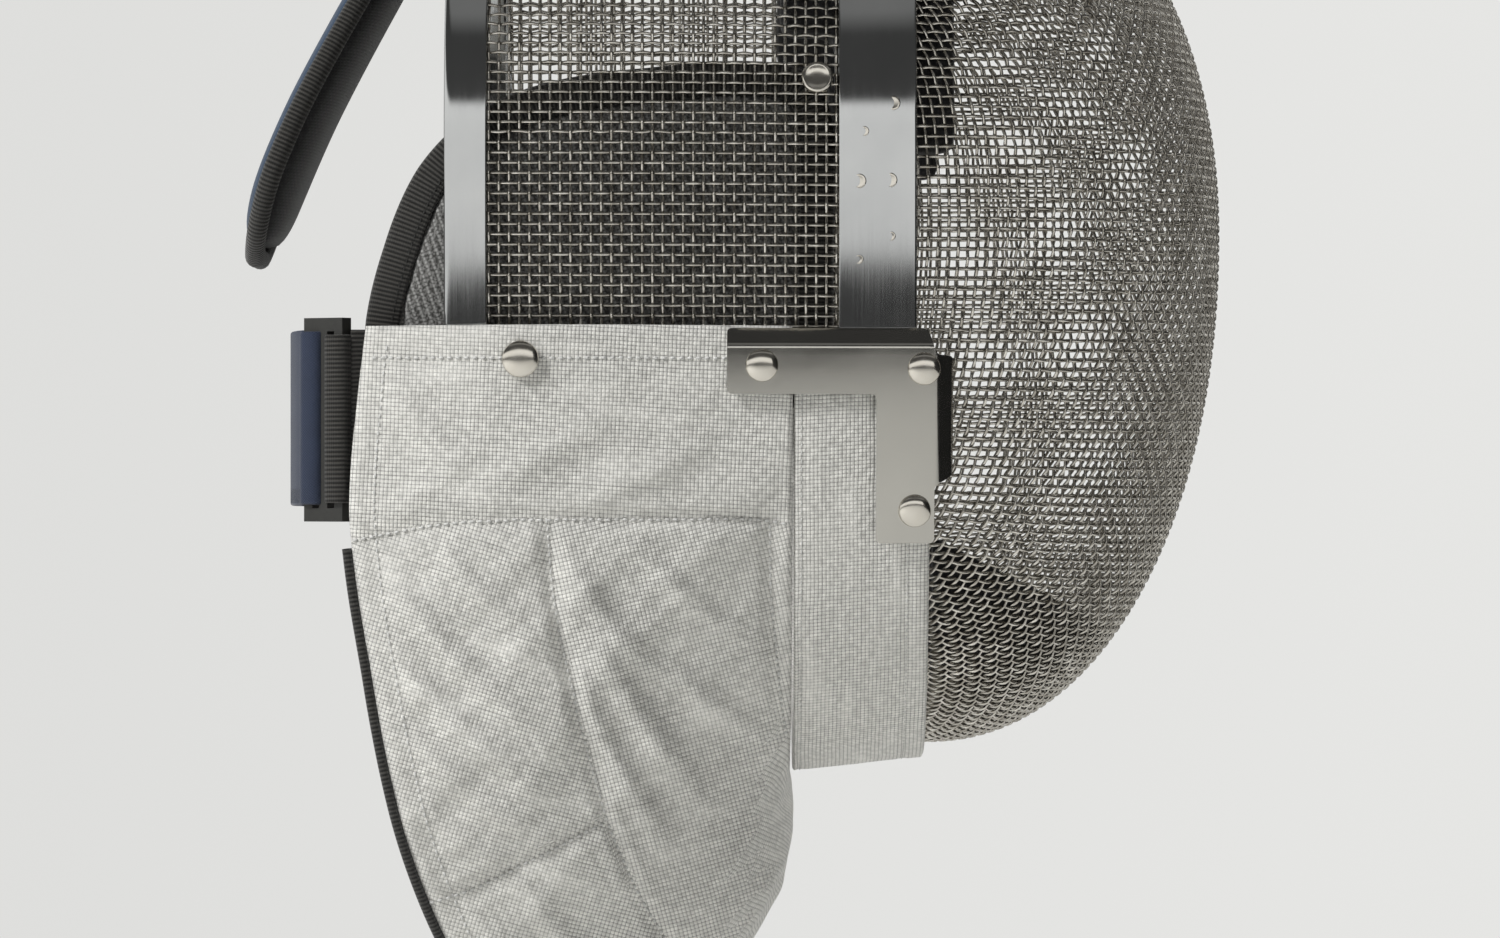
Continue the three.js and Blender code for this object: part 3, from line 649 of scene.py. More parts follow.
class MaskCloth(bpy.types.PropertyGroup):
    seam_depth: bpy.props.FloatProperty(name="Seam depth", description="How far a seam pulls the bib in",
                                        default=0.0021, unit="LENGTH")
    wrinkle: bpy.props.FloatProperty(name="Wrinkles", description="Strength of the folds in the bib", default=2.3)
    stitch: bpy.props.FloatProperty(name="Stitch", description="Length of one stitch", default=0.0017,
                                    unit="LENGTH")
    stitch_gap: bpy.props.FloatProperty(name="Stitch spacing", description="From one stitch to the next",
                                        default=0.0025, unit="LENGTH")


class MaskStage(bpy.types.PropertyGroup):
    floor_height: bpy.props.FloatProperty(name="Floor height", description="Height of the floor",
                                          default=-0.62, unit="LENGTH")
    backdrop: bpy.props.FloatVectorProperty(name="Backdrop", description="Colour of the wall behind",
                                            default=(0.765, 0.765, 0.75), subtype="COLOR", size=3)


# ---- wires ----
def face_surface():
    """The wire face as a fine grid of points with its skirt, for measuring on."""
    theta = np.linspace(-1, 1, 221) * math.pi / 2
    phi = np.linspace(-1, 1, 221) * math.pi / 2
    rise = np.sign(theta) * np.abs(np.sin(theta)) ** (2 / PROFILE_POWER)
    z = FACE_Z + np.where(rise > 0, FACE_TOP, FACE_BOTTOM) * rise
    half = np.abs(outline(level(z), RIM_Y)[:, 0])
    across = np.sign(phi) * np.abs(np.sin(phi)) ** (2 / SECTION_POWER)
    x = half[:, None] * across[None, :]
    depth = FACE_DEPTH * (np.abs(np.cos(theta)) ** (2 / PROFILE_POWER))[:, None]
    depth = depth * (np.abs(np.cos(phi)) ** (2 / SECTION_POWER))[None, :]
    grid = np.stack([x, RIM_Y - depth, np.broadcast_to(z[:, None], x.shape)], -1)
    points = grid.reshape(-1, 3).tolist()
    faces = grid_faces(221, 221)
    ring = np.concatenate([np.linspace(-2, 2, 361)[:-1]])
    first = len(points)
    depths = np.linspace(RIM_Y, -50, 12)
    for y in depths:
        points.extend(outline(ring, y).tolist())
    faces += [tuple(first + i for i in f) for f in grid_faces(len(depths), len(ring), wrap=True)]
    return BVHTree.FromPolygons(points, faces)


def out_of_face(point, normal):
    """The surface's direction, turned away from the head."""
    n = np.array(normal)
    return n if np.dot(n, point - np.array((0, -40, -120.0))) > 0 else -n


def net_nodes(tree, pitch):
    """A net of equal squares laid over the right half of the face, keyed by column and row."""
    def landed(p):
        spot, normal, _, _ = tree.find_nearest(Vector(p))
        return np.array(spot), out_of_face(np.array(spot), normal)

    def walk(start, heading, flat, limit):
        """Points on the face a pitch apart, keeping to one plane."""
        line, p, direction = [], np.array(start, float), np.array(heading, float)
        for _ in range(limit):
            q = p + direction * pitch
            for _ in range(4):
                q, n = landed(q)
                q[flat] = start[flat]
                q = p + (q - p) * (pitch / np.linalg.norm(q - p))
            line.append(q)
            direction = (q - p) / pitch
            p = q
            if p[1] > -61:
                break
        return line

    middle, _ = landed((0, -170, -100))
    middle[0] = 0
    nodes = {(0, 0): middle}
    for sign in (1, -1):
        for k, p in enumerate(walk(middle, (0, 0, sign), 0, 110)):
            nodes[0, sign * (k + 1)] = p
    for k, p in enumerate(walk(middle, (1, 0, 0), 2, 80)):
        nodes[k + 1, 0] = p
    for sign in (1, -1):
        for j in range(1, 111):
            for i in range(1, 81):
                a, b = nodes.get((i - 1, sign * j)), nodes.get((i, sign * (j - 1)))
                c = nodes.get((i - 1, sign * (j - 1)))
                if a is None or b is None or c is None:
                    continue
                q = a + b - c
                for _ in range(7):
                    q, n = landed(q)
                    ra, rb = q - a, q - b
                    la, lb = np.linalg.norm(ra), np.linalg.norm(rb)
                    matrix = np.array([ra / la, rb / lb, n])
                    if abs(np.linalg.det(matrix)) < 0.12:
                        q = None
                        break
                    q = q + np.linalg.solve(matrix, (pitch - la, pitch - lb, 0))
                if q is None or q[1] > -58:
                    continue
                nodes[i, sign * j] = q
    full = dict(nodes)
    for (i, j), p in nodes.items():
        full[-i, j] = p * (-1, 1, 1)
    return {key: (p, landed(p)[1]) for key, p in full.items()}


def woven(line, signs, amplitude, centre, knuckle):
    """A wire along (point, outward) pairs, over and under by turns."""
    points = np.array([p for p, _ in line])
    normals = np.array([n for _, n in line])
    along = np.gradient(points, axis=0)
    along /= np.maximum(np.linalg.norm(along, axis=1, keepdims=True), 1e-9)
    lift = (centre + amplitude * np.array(signs))[:, None]
    middle = points + normals * lift
    return np.stack([middle - along * knuckle / 2, middle + along * knuckle / 2], 1).reshape(-1, 3)


def runs(keys, present):
    """The unbroken stretches of keys that are present."""
    run = []
    for key in keys:
        if key in present:
            run.append(key)
        else:
            if len(run) > 2:
                yield run
            run = []
    if len(run) > 2:
        yield run


class FaceWires(bpy.types.Operator):
    """Weave the domed face from crossing wires"""
    bl_idname = "mask.face_wires"
    bl_label = "Face wires"

    def execute(self, context):
        s = context.scene.mask_wire
        pitch, amplitude, knuckle = s.pitch / MM, s.diameter / MM / 2, s.knuckle / MM
        nodes = net_nodes(face_surface(), pitch)
        columns = sorted({i for i, _ in nodes})
        rows = sorted({j for _, j in nodes})
        up = {-1: [], 1: []}
        for i in columns:
            for run in runs([(i, j) for j in rows], nodes):
                signs = [1 if (a + b) % 2 else -1 for a, b in run]
                up[1 if i > 0 else -1].append(
                    woven([nodes[k] for k in run], signs, amplitude, -1.0, knuckle))
        across = {-1: [], 1: []}
        for j in rows:
            for run in runs([(i, j) for i in columns], nodes):
                signs = [-1 if (a + b) % 2 else 1 for a, b in run]
                across[1 if j > 0 else -1].append(
                    woven([nodes[k] for k in run], signs, amplitude, -1.0, knuckle))
        tree = wire_tree()
        for name, paths in (("face_wires_up_right", up[-1]), ("face_wires_up_left", up[1]),
                            ("face_wires_across_low", across[-1]), ("face_wires_across_high", across[1])):
            grown(name, paths_mesh(name, paths), tree, "steel_wire", ["face_mesh"],
                  Radius=s.diameter / 2, Sides=s.sides, Material=finish_named("steel_wire"))
        return {"FINISHED"}


class SideWires(bpy.types.Operator):
    """Weave the wire mesh over the crown and down both sides"""
    bl_idname = "mask.side_wires"
    bl_label = "Side wires"

    def execute(self, context):
        s = context.scene.mask_wire
        pitch, amplitude, knuckle = s.pitch / MM, s.diameter / MM / 2, s.knuckle / MM
        _, length = path_places(30.0, -156, 9)
        count = int(round(length / pitch)) + 1
        depths = np.arange(-60.4, 66.3, pitch)
        grid = np.zeros((len(depths), count, 2, 3))
        for i, y in enumerate(depths):
            places, _ = path_places(float(y), -156, count)
            base = wall(places, y, 0.0)
            grid[i, :, 0] = base
            grid[i, :, 1] = wall(places, y, 1.0) - base
        over = [woven([grid[i, j] for j in range(count)], [1 if (i + j) % 2 else -1 for j in range(count)],
                      amplitude, -1.0, knuckle) for i in range(len(depths))]
        back = [woven([grid[i, j] for i in range(len(depths))],
                      [-1 if (i + j) % 2 else 1 for i in range(len(depths))],
                      amplitude, -1.0, knuckle) for j in range(count)]
        tree = wire_tree()
        for name, paths in (("side_wires_over", over), ("side_wires_along", back)):
            grown(name, paths_mesh(name, paths), tree, "steel_wire", ["side_mesh"],
                  Radius=s.diameter / 2, Sides=s.sides, Material=finish_named("steel_wire"))
        return {"FINISHED"}


# ---- steel ----
def over_crown(section, bottom, count):
    """A strip over the crown with a closed section of (offset, depth) points."""
    rings = []
    places = [path_places(float(y), bottom, count)[0] for _, y in section]
    for i in range(count):
        rings.append([wall(places[k][i], y, o) for k, (o, y) in enumerate(section)])
    return swept(np.array(rings).reshape(count, len(section), 3))


def rounded(points, radius, steps=4):
    """A closed outline with its corners rounded."""
    p = np.asarray(points, float)
    out = []
    for i in range(len(p)):
        before, here, after = p[i - 1], p[i], p[(i + 1) % len(p)]
        a, b = before - here, after - here
        reach = min(radius, np.linalg.norm(a) * 0.48, np.linalg.norm(b) * 0.48)
        first, last = here + a / np.linalg.norm(a) * reach, here + b / np.linalg.norm(b) * reach
        for t in np.linspace(0, 1, steps + 1):
            out.append((1 - t) ** 2 * first + 2 * t * (1 - t) * here + t * t * last)
    return [tuple(q) for q in out]


class SteelStrips(bpy.types.Operator):
    """Make the steel band over the crown and the folded channel behind it"""
    bl_idname = "mask.steel_strips"
    bl_label = "Band and channel"

    def execute(self, context):
        steel = finish_named("brushed_steel")
        flat = np.linspace(-68.2, -46.8, 9)
        section = [(0.4, -68.8), (1.0, -69.0), (1.35, -68.7)]
        section += [(1.4 + 0.12 * math.cos((y + 57.5) / 10.7 * math.pi / 2), y) for y in flat]
        section += [(1.35, -46.3), (1.0, -46.0), (0.4, -46.2), (0.4, -57.5)]
        points, faces, coords = over_crown(section, -147, 181)
        piece("steel_band", points, faces, steel, "bright_steel", ["front_band"], coords)
        fold = []
        for angle in np.linspace(90, -90, 13):
            t = math.radians(angle)
            fold.append((-1.0 + 2.3 * math.sin(t), 67.4 + 2.3 * math.cos(t)))
        section = [(1.05, 57.2), (1.25, 57.35), (1.3, 57.7), (1.3, 60), (1.3, 63), *fold,
                   (-3.3, 60), (-3.3, 57.3), (-2.5, 57.2), (-2.4, 60), (-2.4, 66.6), (0.4, 66.6),
                   (0.4, 60), (0.4, 57.4)]
        points, faces, coords = over_crown(section, -156, 181)
        piece("steel_channel", points, faces, steel, "bright_steel", ["rear_channel"], coords)
        return {"FINISHED"}


def refined(name, node, finish, slot, bevel, segments=3):
    """A CAD body copied, merged and given rounded edges."""
    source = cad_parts[node]
    work = bmesh.new()
    work.from_mesh(source.data)
    bmesh.ops.remove_doubles(work, verts=work.verts, dist=2e-5)
    bmesh.ops.dissolve_limit(work, angle_limit=math.radians(1.0), verts=work.verts, edges=work.edges)
    sharp = [e for e in work.edges if len(e.link_faces) == 2 and e.calc_face_angle(0) > math.radians(24)]
    bmesh.ops.bevel(work, geom=sharp, offset=bevel, segments=segments, profile=0.5, affect="EDGES",
                    clamp_overlap=True)
    mesh = bpy.data.meshes.new(name)
    work.to_mesh(mesh)
    work.free()
    mesh.materials.clear()
    mesh.materials.append(finish)
    for polygon in mesh.polygons:
        polygon.use_smooth = True
    thing = bpy.data.objects.new(name, mesh)
    bpy.context.scene.collection.objects.link(thing)
    modifier = thing.modifiers.new("weights", "WEIGHTED_NORMAL")
    modifier.keep_sharp = True
    return fitted(thing, slot, [node])


PLATE_EDGE = [(-72.2, -140.0), (-13.3, -140.0), (-13.3, -160), (-57, -160), (-57, -202.5), (-74.2, -202.5),
              (-74.2, -186), (-81.0, -184), (-81.0, -149.5), (-74.6, -148.6)]
PLATE_FOLD = {"top": -147.0, "front": -74.2, "bend": 2.6, "angle": 0.72}


def folded(side, y, z, offset):
    """A point of the corner plate, bent back past its two fold lines."""
    bend, limit = PLATE_FOLD["bend"], PLATE_FOLD["angle"]
    drop = 0.0
    for past, axis, sign in ((z - PLATE_FOLD["top"], "z", 1), (PLATE_FOLD["front"] - y, "y", -1)):
        if past <= 0:
            continue
        turn = min(past / bend, limit)
        rest = max(0.0, past - bend * limit)
        reach = bend * math.sin(turn) + rest * math.cos(limit)
        drop += bend * (1 - math.cos(turn)) + rest * math.sin(limit)
        if axis == "z":
            z = PLATE_FOLD["top"] + reach
        else:
            y = PLATE_FOLD["front"] - reach
    return wall(side * float(level(z, y)), y, offset - drop)


class Brackets(bpy.types.Operator):
    """Make the two folded corner plates"""
    bl_idname = "mask.brackets"
    bl_label = "Corner plates"

    def execute(self, context):
        for hand, side in (("right", -1), ("left", 1)):
            work = bmesh.new()
            edge = rounded(PLATE_EDGE, 1.6, 4)
            work.faces.new([work.verts.new((0, y, z)) for y, z in edge])
            for axis, low, high, step in ((1, -82, -13, 2.4), (2, -203, -140, 3.0)):
                for place in (*np.arange(low, high, step), PLATE_FOLD["top" if axis == 2 else "front"]):
                    spot, normal = [0, 0, 0], [0, 0, 0]
                    spot[axis], normal[axis] = float(place), 1
                    bmesh.ops.bisect_plane(work, geom=[*work.verts, *work.edges, *work.faces], plane_co=spot,
                                           plane_no=normal, dist=1e-4)
            for place in (0.4, 0.8, 1.2, 1.6, 2.0):
                for axis, first, sign in ((2, PLATE_FOLD["top"], 1), (1, PLATE_FOLD["front"], -1)):
                    spot, normal = [0, 0, 0], [0, 0, 0]
                    spot[axis], normal[axis] = first + sign * place, 1
                    bmesh.ops.bisect_plane(work, geom=[*work.verts, *work.edges, *work.faces], plane_co=spot,
                                           plane_no=normal, dist=1e-4)
            work.verts.index_update()
            flat = [(v.co.y, v.co.z) for v in work.verts]
            loops = [[v.index for v in f.verts] for f in work.faces]
            rim = [[v.index for v in e.verts] for e in work.edges if len(e.link_faces) == 1]
            size = len(flat)
            points = [folded(side, y, z, 7.5) for y, z in flat] + [folded(side, y, z, 6.4) for y, z in flat]
            directed = {(a, b) for loop in loops for a, b in zip(loop, loop[1:] + loop[:1])}
            faces = loops + [[size + i for i in reversed(loop)] for loop in loops]
            for a, b in rim:
                a, b = (a, b) if (a, b) in directed else (b, a)
                faces.append([b, a, size + a, size + b])
            work.free()
            plate = piece(f"corner_plate_{hand}", points, outwards(points, faces), finish_named("plate_steel"),
                          "bright_steel", [f"bracket_{hand}"])
            bevel = plate.modifiers.new("edges", "BEVEL")
            bevel.width, bevel.segments, bevel.limit_method = 0.0003, 2, "ANGLE"
            bevel.angle_limit = math.radians(50)
            plate.modifiers.new("weights", "WEIGHTED_NORMAL")
        return {"FINISHED"}


def head_mesh(name, profile):
    """A turned head from (radius, height) pairs, for placing on points."""
    n = 32
    points, faces = [], []
    for r, h in profile[:-1]:
        for k in range(n):
            t = 2 * math.pi * k / n
            points.append((r * math.cos(t), r * math.sin(t), h))
    faces = grid_faces(len(profile) - 1, n, wrap=True)
    top = len(points)
    points.append((0, 0, profile[-1][1]))
    last = (len(profile) - 2) * n
    faces += [(last + k, last + (k + 1) % n, top) for k in range(n)]
    faces.append(tuple(reversed(range(n))))
    mesh = bpy.data.meshes.new(name)
    mesh.from_pydata(points, [], outwards(points, faces))
    return bpy.data.objects.new(name, mesh)


def facing_out(side, y, z):
    a = side * float(level(z, y))
    base = wall(a, y, 0.0)
    return base, wall(a, y, 1.0) - base


class Rivets(bpy.types.Operator):
    """Set the rivets of the plates and the bib, and the snaps of the forehead pad"""
    bl_idname = "mask.rivets"
    bl_label = "Rivets and snaps"

    def execute(self, context):
        turns = np.linspace(0, math.pi / 2, 10)
        dome = [(0.97, 0.0), (1.0, 0.12)]
        dome += [(math.cos(t) ** 0.9, 0.28 + 0.72 * math.sin(t)) for t in turns[:-1]] + [(0, 1.0)]
        dish = [(0.97, 0.0), (1.0, 0.35), (0.97, 0.72), (0.90, 0.95), (0.82, 1.0), (0.72, 0.93),
                (0.6, 0.84), (0.4, 0.78), (0.2, 0.76), (0, 0.75)]
        groups = {
            "plate_rivets": (dome, [(y, z, 8.1 - 0.55, 4.8, 2.4) for y, z in
                                    ((-23.5, -151.8), (-71, -152.7), (-68.4, -193.2))],
                             [f"bracket_rivet_{h}_{k}" for h in ("right", "left") for k in (1, 2, 3)]),
            "bib_rivets": (dome, [(47, -150, 8.4, 5.4, 2.4)], ["bib_rivet_right", "bib_rivet_left"]),
            "weld_marks": ([(0.97, 0.0), (1.0, 0.4), (0.86, 1.0), (0.66, 0.7), (0.35, 0.45), (0, 0.4)],
                           [(y, z, 1.42, r, 0.1) for y, z, r in
                            ((-61.9, -75.8, 2.2), (-53.4, -84, 1.5), (-51.9, -98.6, 2.2), (-61, -98.3, 2.2),
                             (-61.3, -114.7, 1.4), (-51.9, -121.5, 1.4))], []),
            "snap_caps": (dish, [(-39.7, -68.5, 0.5, 4.7, 2.2)], ["snap_right", "snap_left"]),
        }
        tree = rivet_tree()
        for name, (profile, places, nodes) in groups.items():
            head = head_mesh(f"{name}_head", profile)
            points, facing, size = [], [], []
            for side in (-1, 1):
                for y, z, offset, radius, height in places:
                    base, out = facing_out(side, y, z)
                    points.append(((base + out * offset) * MM).tolist())
                    facing.extend(out.tolist())
                    size.extend([radius * MM, radius * MM, height * MM])
            mesh = bpy.data.meshes.new(name)
            mesh.from_pydata(points, [], [])
            mesh.attributes.new("facing", "FLOAT_VECTOR", "POINT").data.foreach_set("vector", facing)
            mesh.attributes.new("size", "FLOAT_VECTOR", "POINT").data.foreach_set("vector", size)
            grown(name, mesh, tree, "bright_steel", nodes, Head=head, Material=finish_named("rivet_steel"))
            bpy.data.objects.remove(head)
        return {"FINISHED"}


# ---- bib ----
BIB_ROWS = [
    (-141, (102.2, 12, -141), (103.4, 58, -141), (96, 93, -141)),
    (-170, (99.5, 12, -169), (101.5, 58, -169), (96, 96, -168)),
    (-203, (96.5, 14, -202), (100, 58, -200), (95.5, 97.8, -197)),
    (-235, (88, 10, -238), (95, 50, -240), (92, 92, -240)),
    (-256, (70, -2, -273), (84, 36, -282), (86, 82, -290)),
    (-266, (46, -17, -301), (62, 17, -321), (68, 66, -332)),
    (-270.5, (22, -28, -309), (33, -2, -342), (40, 42, -369)),
    (-271.4, (0, -31, -311), (0, -9, -349), (0, 30, -385)),
]
SEAMS = {
    "yoke": [(95.7, -203.8), (76.7, -200.3), (62, -198.5), (38.6, -197.9), (0, -197.9), (-22.9, -197.9),
             (-30, -199.0)],
    "panel": [(39.5, -198), (37.7, -220.8), (32.2, -248), (22.2, -287.3), (12, -312), (2, -330)],
    "rear": [(24, -288.2), (42, -297.5), (60, -306.4), (71.4, -310.5), (78, -312)],
    "dart": [(-25.9, -200), (-26.2, -219.3), (-27.9, -238), (-29, -249.5), (-30.5, -262)],
}
FOLDS = [  # start, end, half-width, height
    ((88, -212), (46, -258), 5, 1.5), ((72, -204), (44, -230), 4, 1.1), ((90, -232), (40, -280), 6, 1.7),
    ((86, -256), (36, -296), 5, 1.3), ((82, -280), (48, -302), 5, 1.0), ((36, -207), (2, -250), 5, 1.5),
    ((32, -222), (-8, -286), 6, 1.8), ((30, -246), (2, -300), 5, 1.4), ((16, -203), (-22, -236), 4, 1.0),
    ((8, -238), (-26, -264), 5, 1.2), ((26, -272), (8, -318), 5, 1.2), ((66, -316), (28, -338), 6, 1.4),
    ((50, -304), (14, -344), 5, 1.2), ((30, -322), (6, -352), 5, 1.0), ((90, -150), (62, -186), 7, 0.8),
    ((64, -190), (20, -168), 6, 0.7), ((30, -192), (-10, -176), 6, 0.7), ((84, -196), (58, -176), 5, 0.7),
]


def near_line(y, z, line):
    """Distance of each point from a line of points, in the side view, and how far along it lies."""
    line = np.asarray(line, float)
    best, place = np.full(y.shape, 1e9), np.zeros(y.shape)
    for k in range(len(line) - 1):
        a, d = line[k], line[k + 1] - line[k]
        t = np.clip(((y - a[0]) * d[0] + (z - a[1]) * d[1]) / (d @ d), 0, 1)
        gap = np.hypot(y - a[0] - t * d[0], z - a[1] - t * d[1])
        closer = gap < best
        best, place = np.where(closer, gap, best), np.where(closer, (k + t) / (len(line) - 1), place)
    return best, place


def bib_grid(down, across):
    half = []
    for seam_z, near, far, edge in BIB_ROWS:
        start = wall(2.0 if near[0] == 0 else float(level(seam_z, SEAM_Y)), SEAM_Y, SEAM_OFFSET)
        if near[0] == 0:
            start[0] = 0
        half.append(spline([start, near, far, edge], across))
    rows = half + [row * (-1, 1, 1) for row in half[-2::-1]]
    columns = [spline([row[c] for row in rows], down) for c in range(across)]
    return np.stack(columns, 1)


def bib_relief(grid, wrinkle, seam_depth):
    """How far each point of the bib stands out: its padding, folds and seams."""
    y, z = grid[..., 1], grid[..., 2]
    height = np.zeros(y.shape)
    for start, end, width, tall in FOLDS:
        gap, place = near_line(y, z, [start, ((start[0] + end[0]) / 2 + 1.5, (start[1] + end[1]) / 2 - 1.5),
                                      end])
        side = np.sin(np.clip(place, 0, 1) * math.pi) ** 0.7
        sharp = gap / width / 0.75
        height += wrinkle * tall * side * (np.exp(-(sharp ** 2)) - 0.3 * np.exp(-(sharp ** 2) / 4))
    for r in range(y.shape[0]):
        for c in range(y.shape[1]):
            p = grid[r, c]
            slant = Vector(((p[1] - p[2]) * 0.012, (p[1] + p[2]) * 0.045, p[0] * 0.02))
            low = min(1, max(0, (-190 - p[2]) / 30))
            height[r, c] += wrinkle * noise.noise(slant) * (0.35 + 0.8 * low)
            height[r, c] += wrinkle * noise.noise(slant * 3.1) * (0.12 + 0.3 * low)
    seams = np.zeros(y.shape)
    for line in SEAMS.values():
        gap, _ = near_line(y, z, line)
        seams = np.maximum(seams, np.exp(-((gap / 2.0) ** 2)))
    height = height * (1 - 0.8 * seams) - seams * seam_depth
    edge_gap = np.linalg.norm(grid - grid[:, -1:], axis=-1)
    hem = np.exp(-(((edge_gap - 7) / 1.6) ** 2)) * 0.5
    top_gap = np.abs(z + 141)
    top_hem = np.exp(-(((top_gap - 9.5) / 1.6) ** 2)) * 0.45
    calm = np.clip(np.minimum(edge_gap, np.maximum(top_gap, 0)) / 12, 0, 1)
    seam_gap = np.linalg.norm(grid - grid[:, :1], axis=-1)
    return height * (0.25 + 0.75 * calm) * np.clip(seam_gap / 8, 0, 1) - hem - top_hem


def under_plate(grid):
    """Holds the cloth below the corner plate."""
    near = np.clip((-7 - grid[..., 1]) / 6, 0, 1) * np.clip((grid[..., 2] + 172) / 6, 0, 1)
    tucked = np.clip((-12.4 - grid[..., 1]) / 2, 0, 1) * np.clip(1 - (-141 - grid[..., 2]) / 24, 0, 1)
    grid[..., 2] -= 6.6 * tucked
    a = level(grid[..., 2], grid[..., 1])
    limit = np.abs(wall(a, grid[..., 1], 5.3)[..., 0])
    x = np.abs(grid[..., 0])
    pressed = np.where(x > limit, x + (limit - x) * near, x)
    grid[..., 0] = np.sign(grid[..., 0]) * pressed
    return grid


def threads(points, faces):
    """Flat coordinates for each corner: every panel is cut with its threads at its own slant."""
    p = np.asarray(points, float)
    corners = np.array(faces)
    middle = p[corners].mean(1)
    normal = np.cross(p[corners[:, 2]] - p[corners[:, 0]], p[corners[:, 3]] - p[corners[:, 1]])
    normal /= np.maximum(np.linalg.norm(normal, axis=1, keepdims=True), 1e-9)
    y, z = middle[:, 1], middle[:, 2]
    yoke = np.interp(y, [q[0] for q in SEAMS["yoke"][::-1]], [q[1] for q in SEAMS["yoke"][::-1]])
    panel = np.interp(-z, [-q[1] for q in SEAMS["panel"]], [q[0] for q in SEAMS["panel"]])
    slant = np.where(z > yoke, 0.05, np.where(y > panel, 0.30, -0.24))[:, None]
    first = np.where(np.abs(normal[:, :1]) > 0.5, p[corners][..., 1], p[corners][..., 0])
    second = p[corners][..., 2]
    return np.stack([first * np.cos(slant) + second * np.sin(slant),
                     second * np.cos(slant) - first * np.sin(slant)], -1).reshape(-1, 2)


BIB = {}


class Bib(bpy.types.Operator):
    """Make the padded bib with its seams, folds, stitches and piping"""
    bl_idname = "mask.bib"
    bl_label = "Bib"

    def execute(self, context):
        s = context.scene.mask_cloth
        down, across = ((264, 70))
        flat = bib_grid(down, across)
        normals = grid_normals(flat)
        if np.mean(normals[: down // 6, :, 0] * np.sign(flat[: down // 6, :, 0])) < 0:
            normals = -normals
        relief = bib_relief(flat, s.wrinkle, s.seam_depth / MM)
        outer = under_plate(flat + normals * (relief - 0.5)[..., None])
        edge = np.ones(flat.shape[:2])
        gap = np.minimum(np.linalg.norm(flat - flat[:, -1:], axis=-1), np.abs(flat[..., 2] + 141) + 99 * (
            np.abs(np.arange(down) - (down - 1) / 2) < down * 0.4)[:, None])
        edge = np.sqrt(np.clip(1 - np.clip(1 - gap / 2.0, 0, 1) ** 2, 0, 1))
        middle = flat - normals * (BIB_THICK / 2)
        outer = middle + (outer - middle) * (0.35 + 0.65 * edge)[..., None]
        inner = middle - normals * (BIB_THICK / 2 * (0.35 + 0.65 * edge))[..., None]
        points, faces, _ = shell(outer, inner)
        faces = outwards(points, faces)
        area = float(np.sum(np.linalg.norm(np.cross(np.diff(outer, axis=0)[:, :-1],
                                                    np.diff(outer, axis=1)[:-1]), axis=-1))) * MM * MM
        cloth = piece("padded_bib", points, faces, finish_named("silver_cloth"), "silver_cloth", ["bib"],
                      threads(points, faces))
        BIB["surface"] = BVHTree.FromPolygons(outer.reshape(-1, 3).tolist(), grid_faces(down, across))
        BIB["grid"], BIB["normals"] = outer, normals
        width = float(np.mean(np.sum(np.linalg.norm(np.diff(outer, axis=0), axis=-1), axis=0))) * MM
        BIB["sheet"] = (cloth, width, area)
        stitches = []
        for name, line in SEAMS.items():
            dense = spline([(0, *p) for p in line], 60)
            for side in (-1, 1):
                path = self.laid(side, dense)
                if len(path) > 3:
                    stitches.append(path)
        for column_gap in (6.5,):
            column = int(np.argmin(np.abs(np.linalg.norm(outer[down // 3] - outer[down // 3, -1], axis=-1)
                                          - column_gap)))
            stitches.append(outer[3:-3, column] + normals[3:-3, column] * 0.1)
        for side in (-1, 1):
            top = [(0, y, -150.5) for y in np.linspace(-30, 90, 80)]
            stitches.append(self.laid(side, np.array(top)))
        seams = grown("bib_stitches", paths_mesh("bib_stitches", stitches), stitch_tree(), "silver_cloth",
                      Spacing=s.stitch_gap, Length=s.stitch, Thickness=0.0009,
                      Material=finish_named("silver_thread"))
        fine = [middle[r, -1] + (middle[r, -1] - middle[r, -2]) / np.linalg.norm(middle[r, -1] - middle[r, -2])
                * 1.5 for r in range(down)]
        fine = spline([p for p in fine if p[2] < -198][::4], 220)
        points, faces, coords = swept(tube_rings(fine, 1.55, 10))
        piping = piece("bib_edge_piping", points, faces, finish_named("black_ribbon"), "black_ribbon",
                       ["bib_piping"], coords)
        return {"FINISHED"}

    def laid(self, side, dense):
        """A line in the side view laid on the outside of the bib."""
        path = []
        for _, y, z in dense:
            spot, normal, _, _ = BIB["surface"].ray_cast(Vector((side * 400, y, z)), Vector((-side, 0, 0)))
            if spot is not None and side * spot[0] > 4:
                lift = np.array(normal) * (0.25 if normal[0] * side > 0 else -0.25)
                path.append(np.array(spot) + lift)
        return path


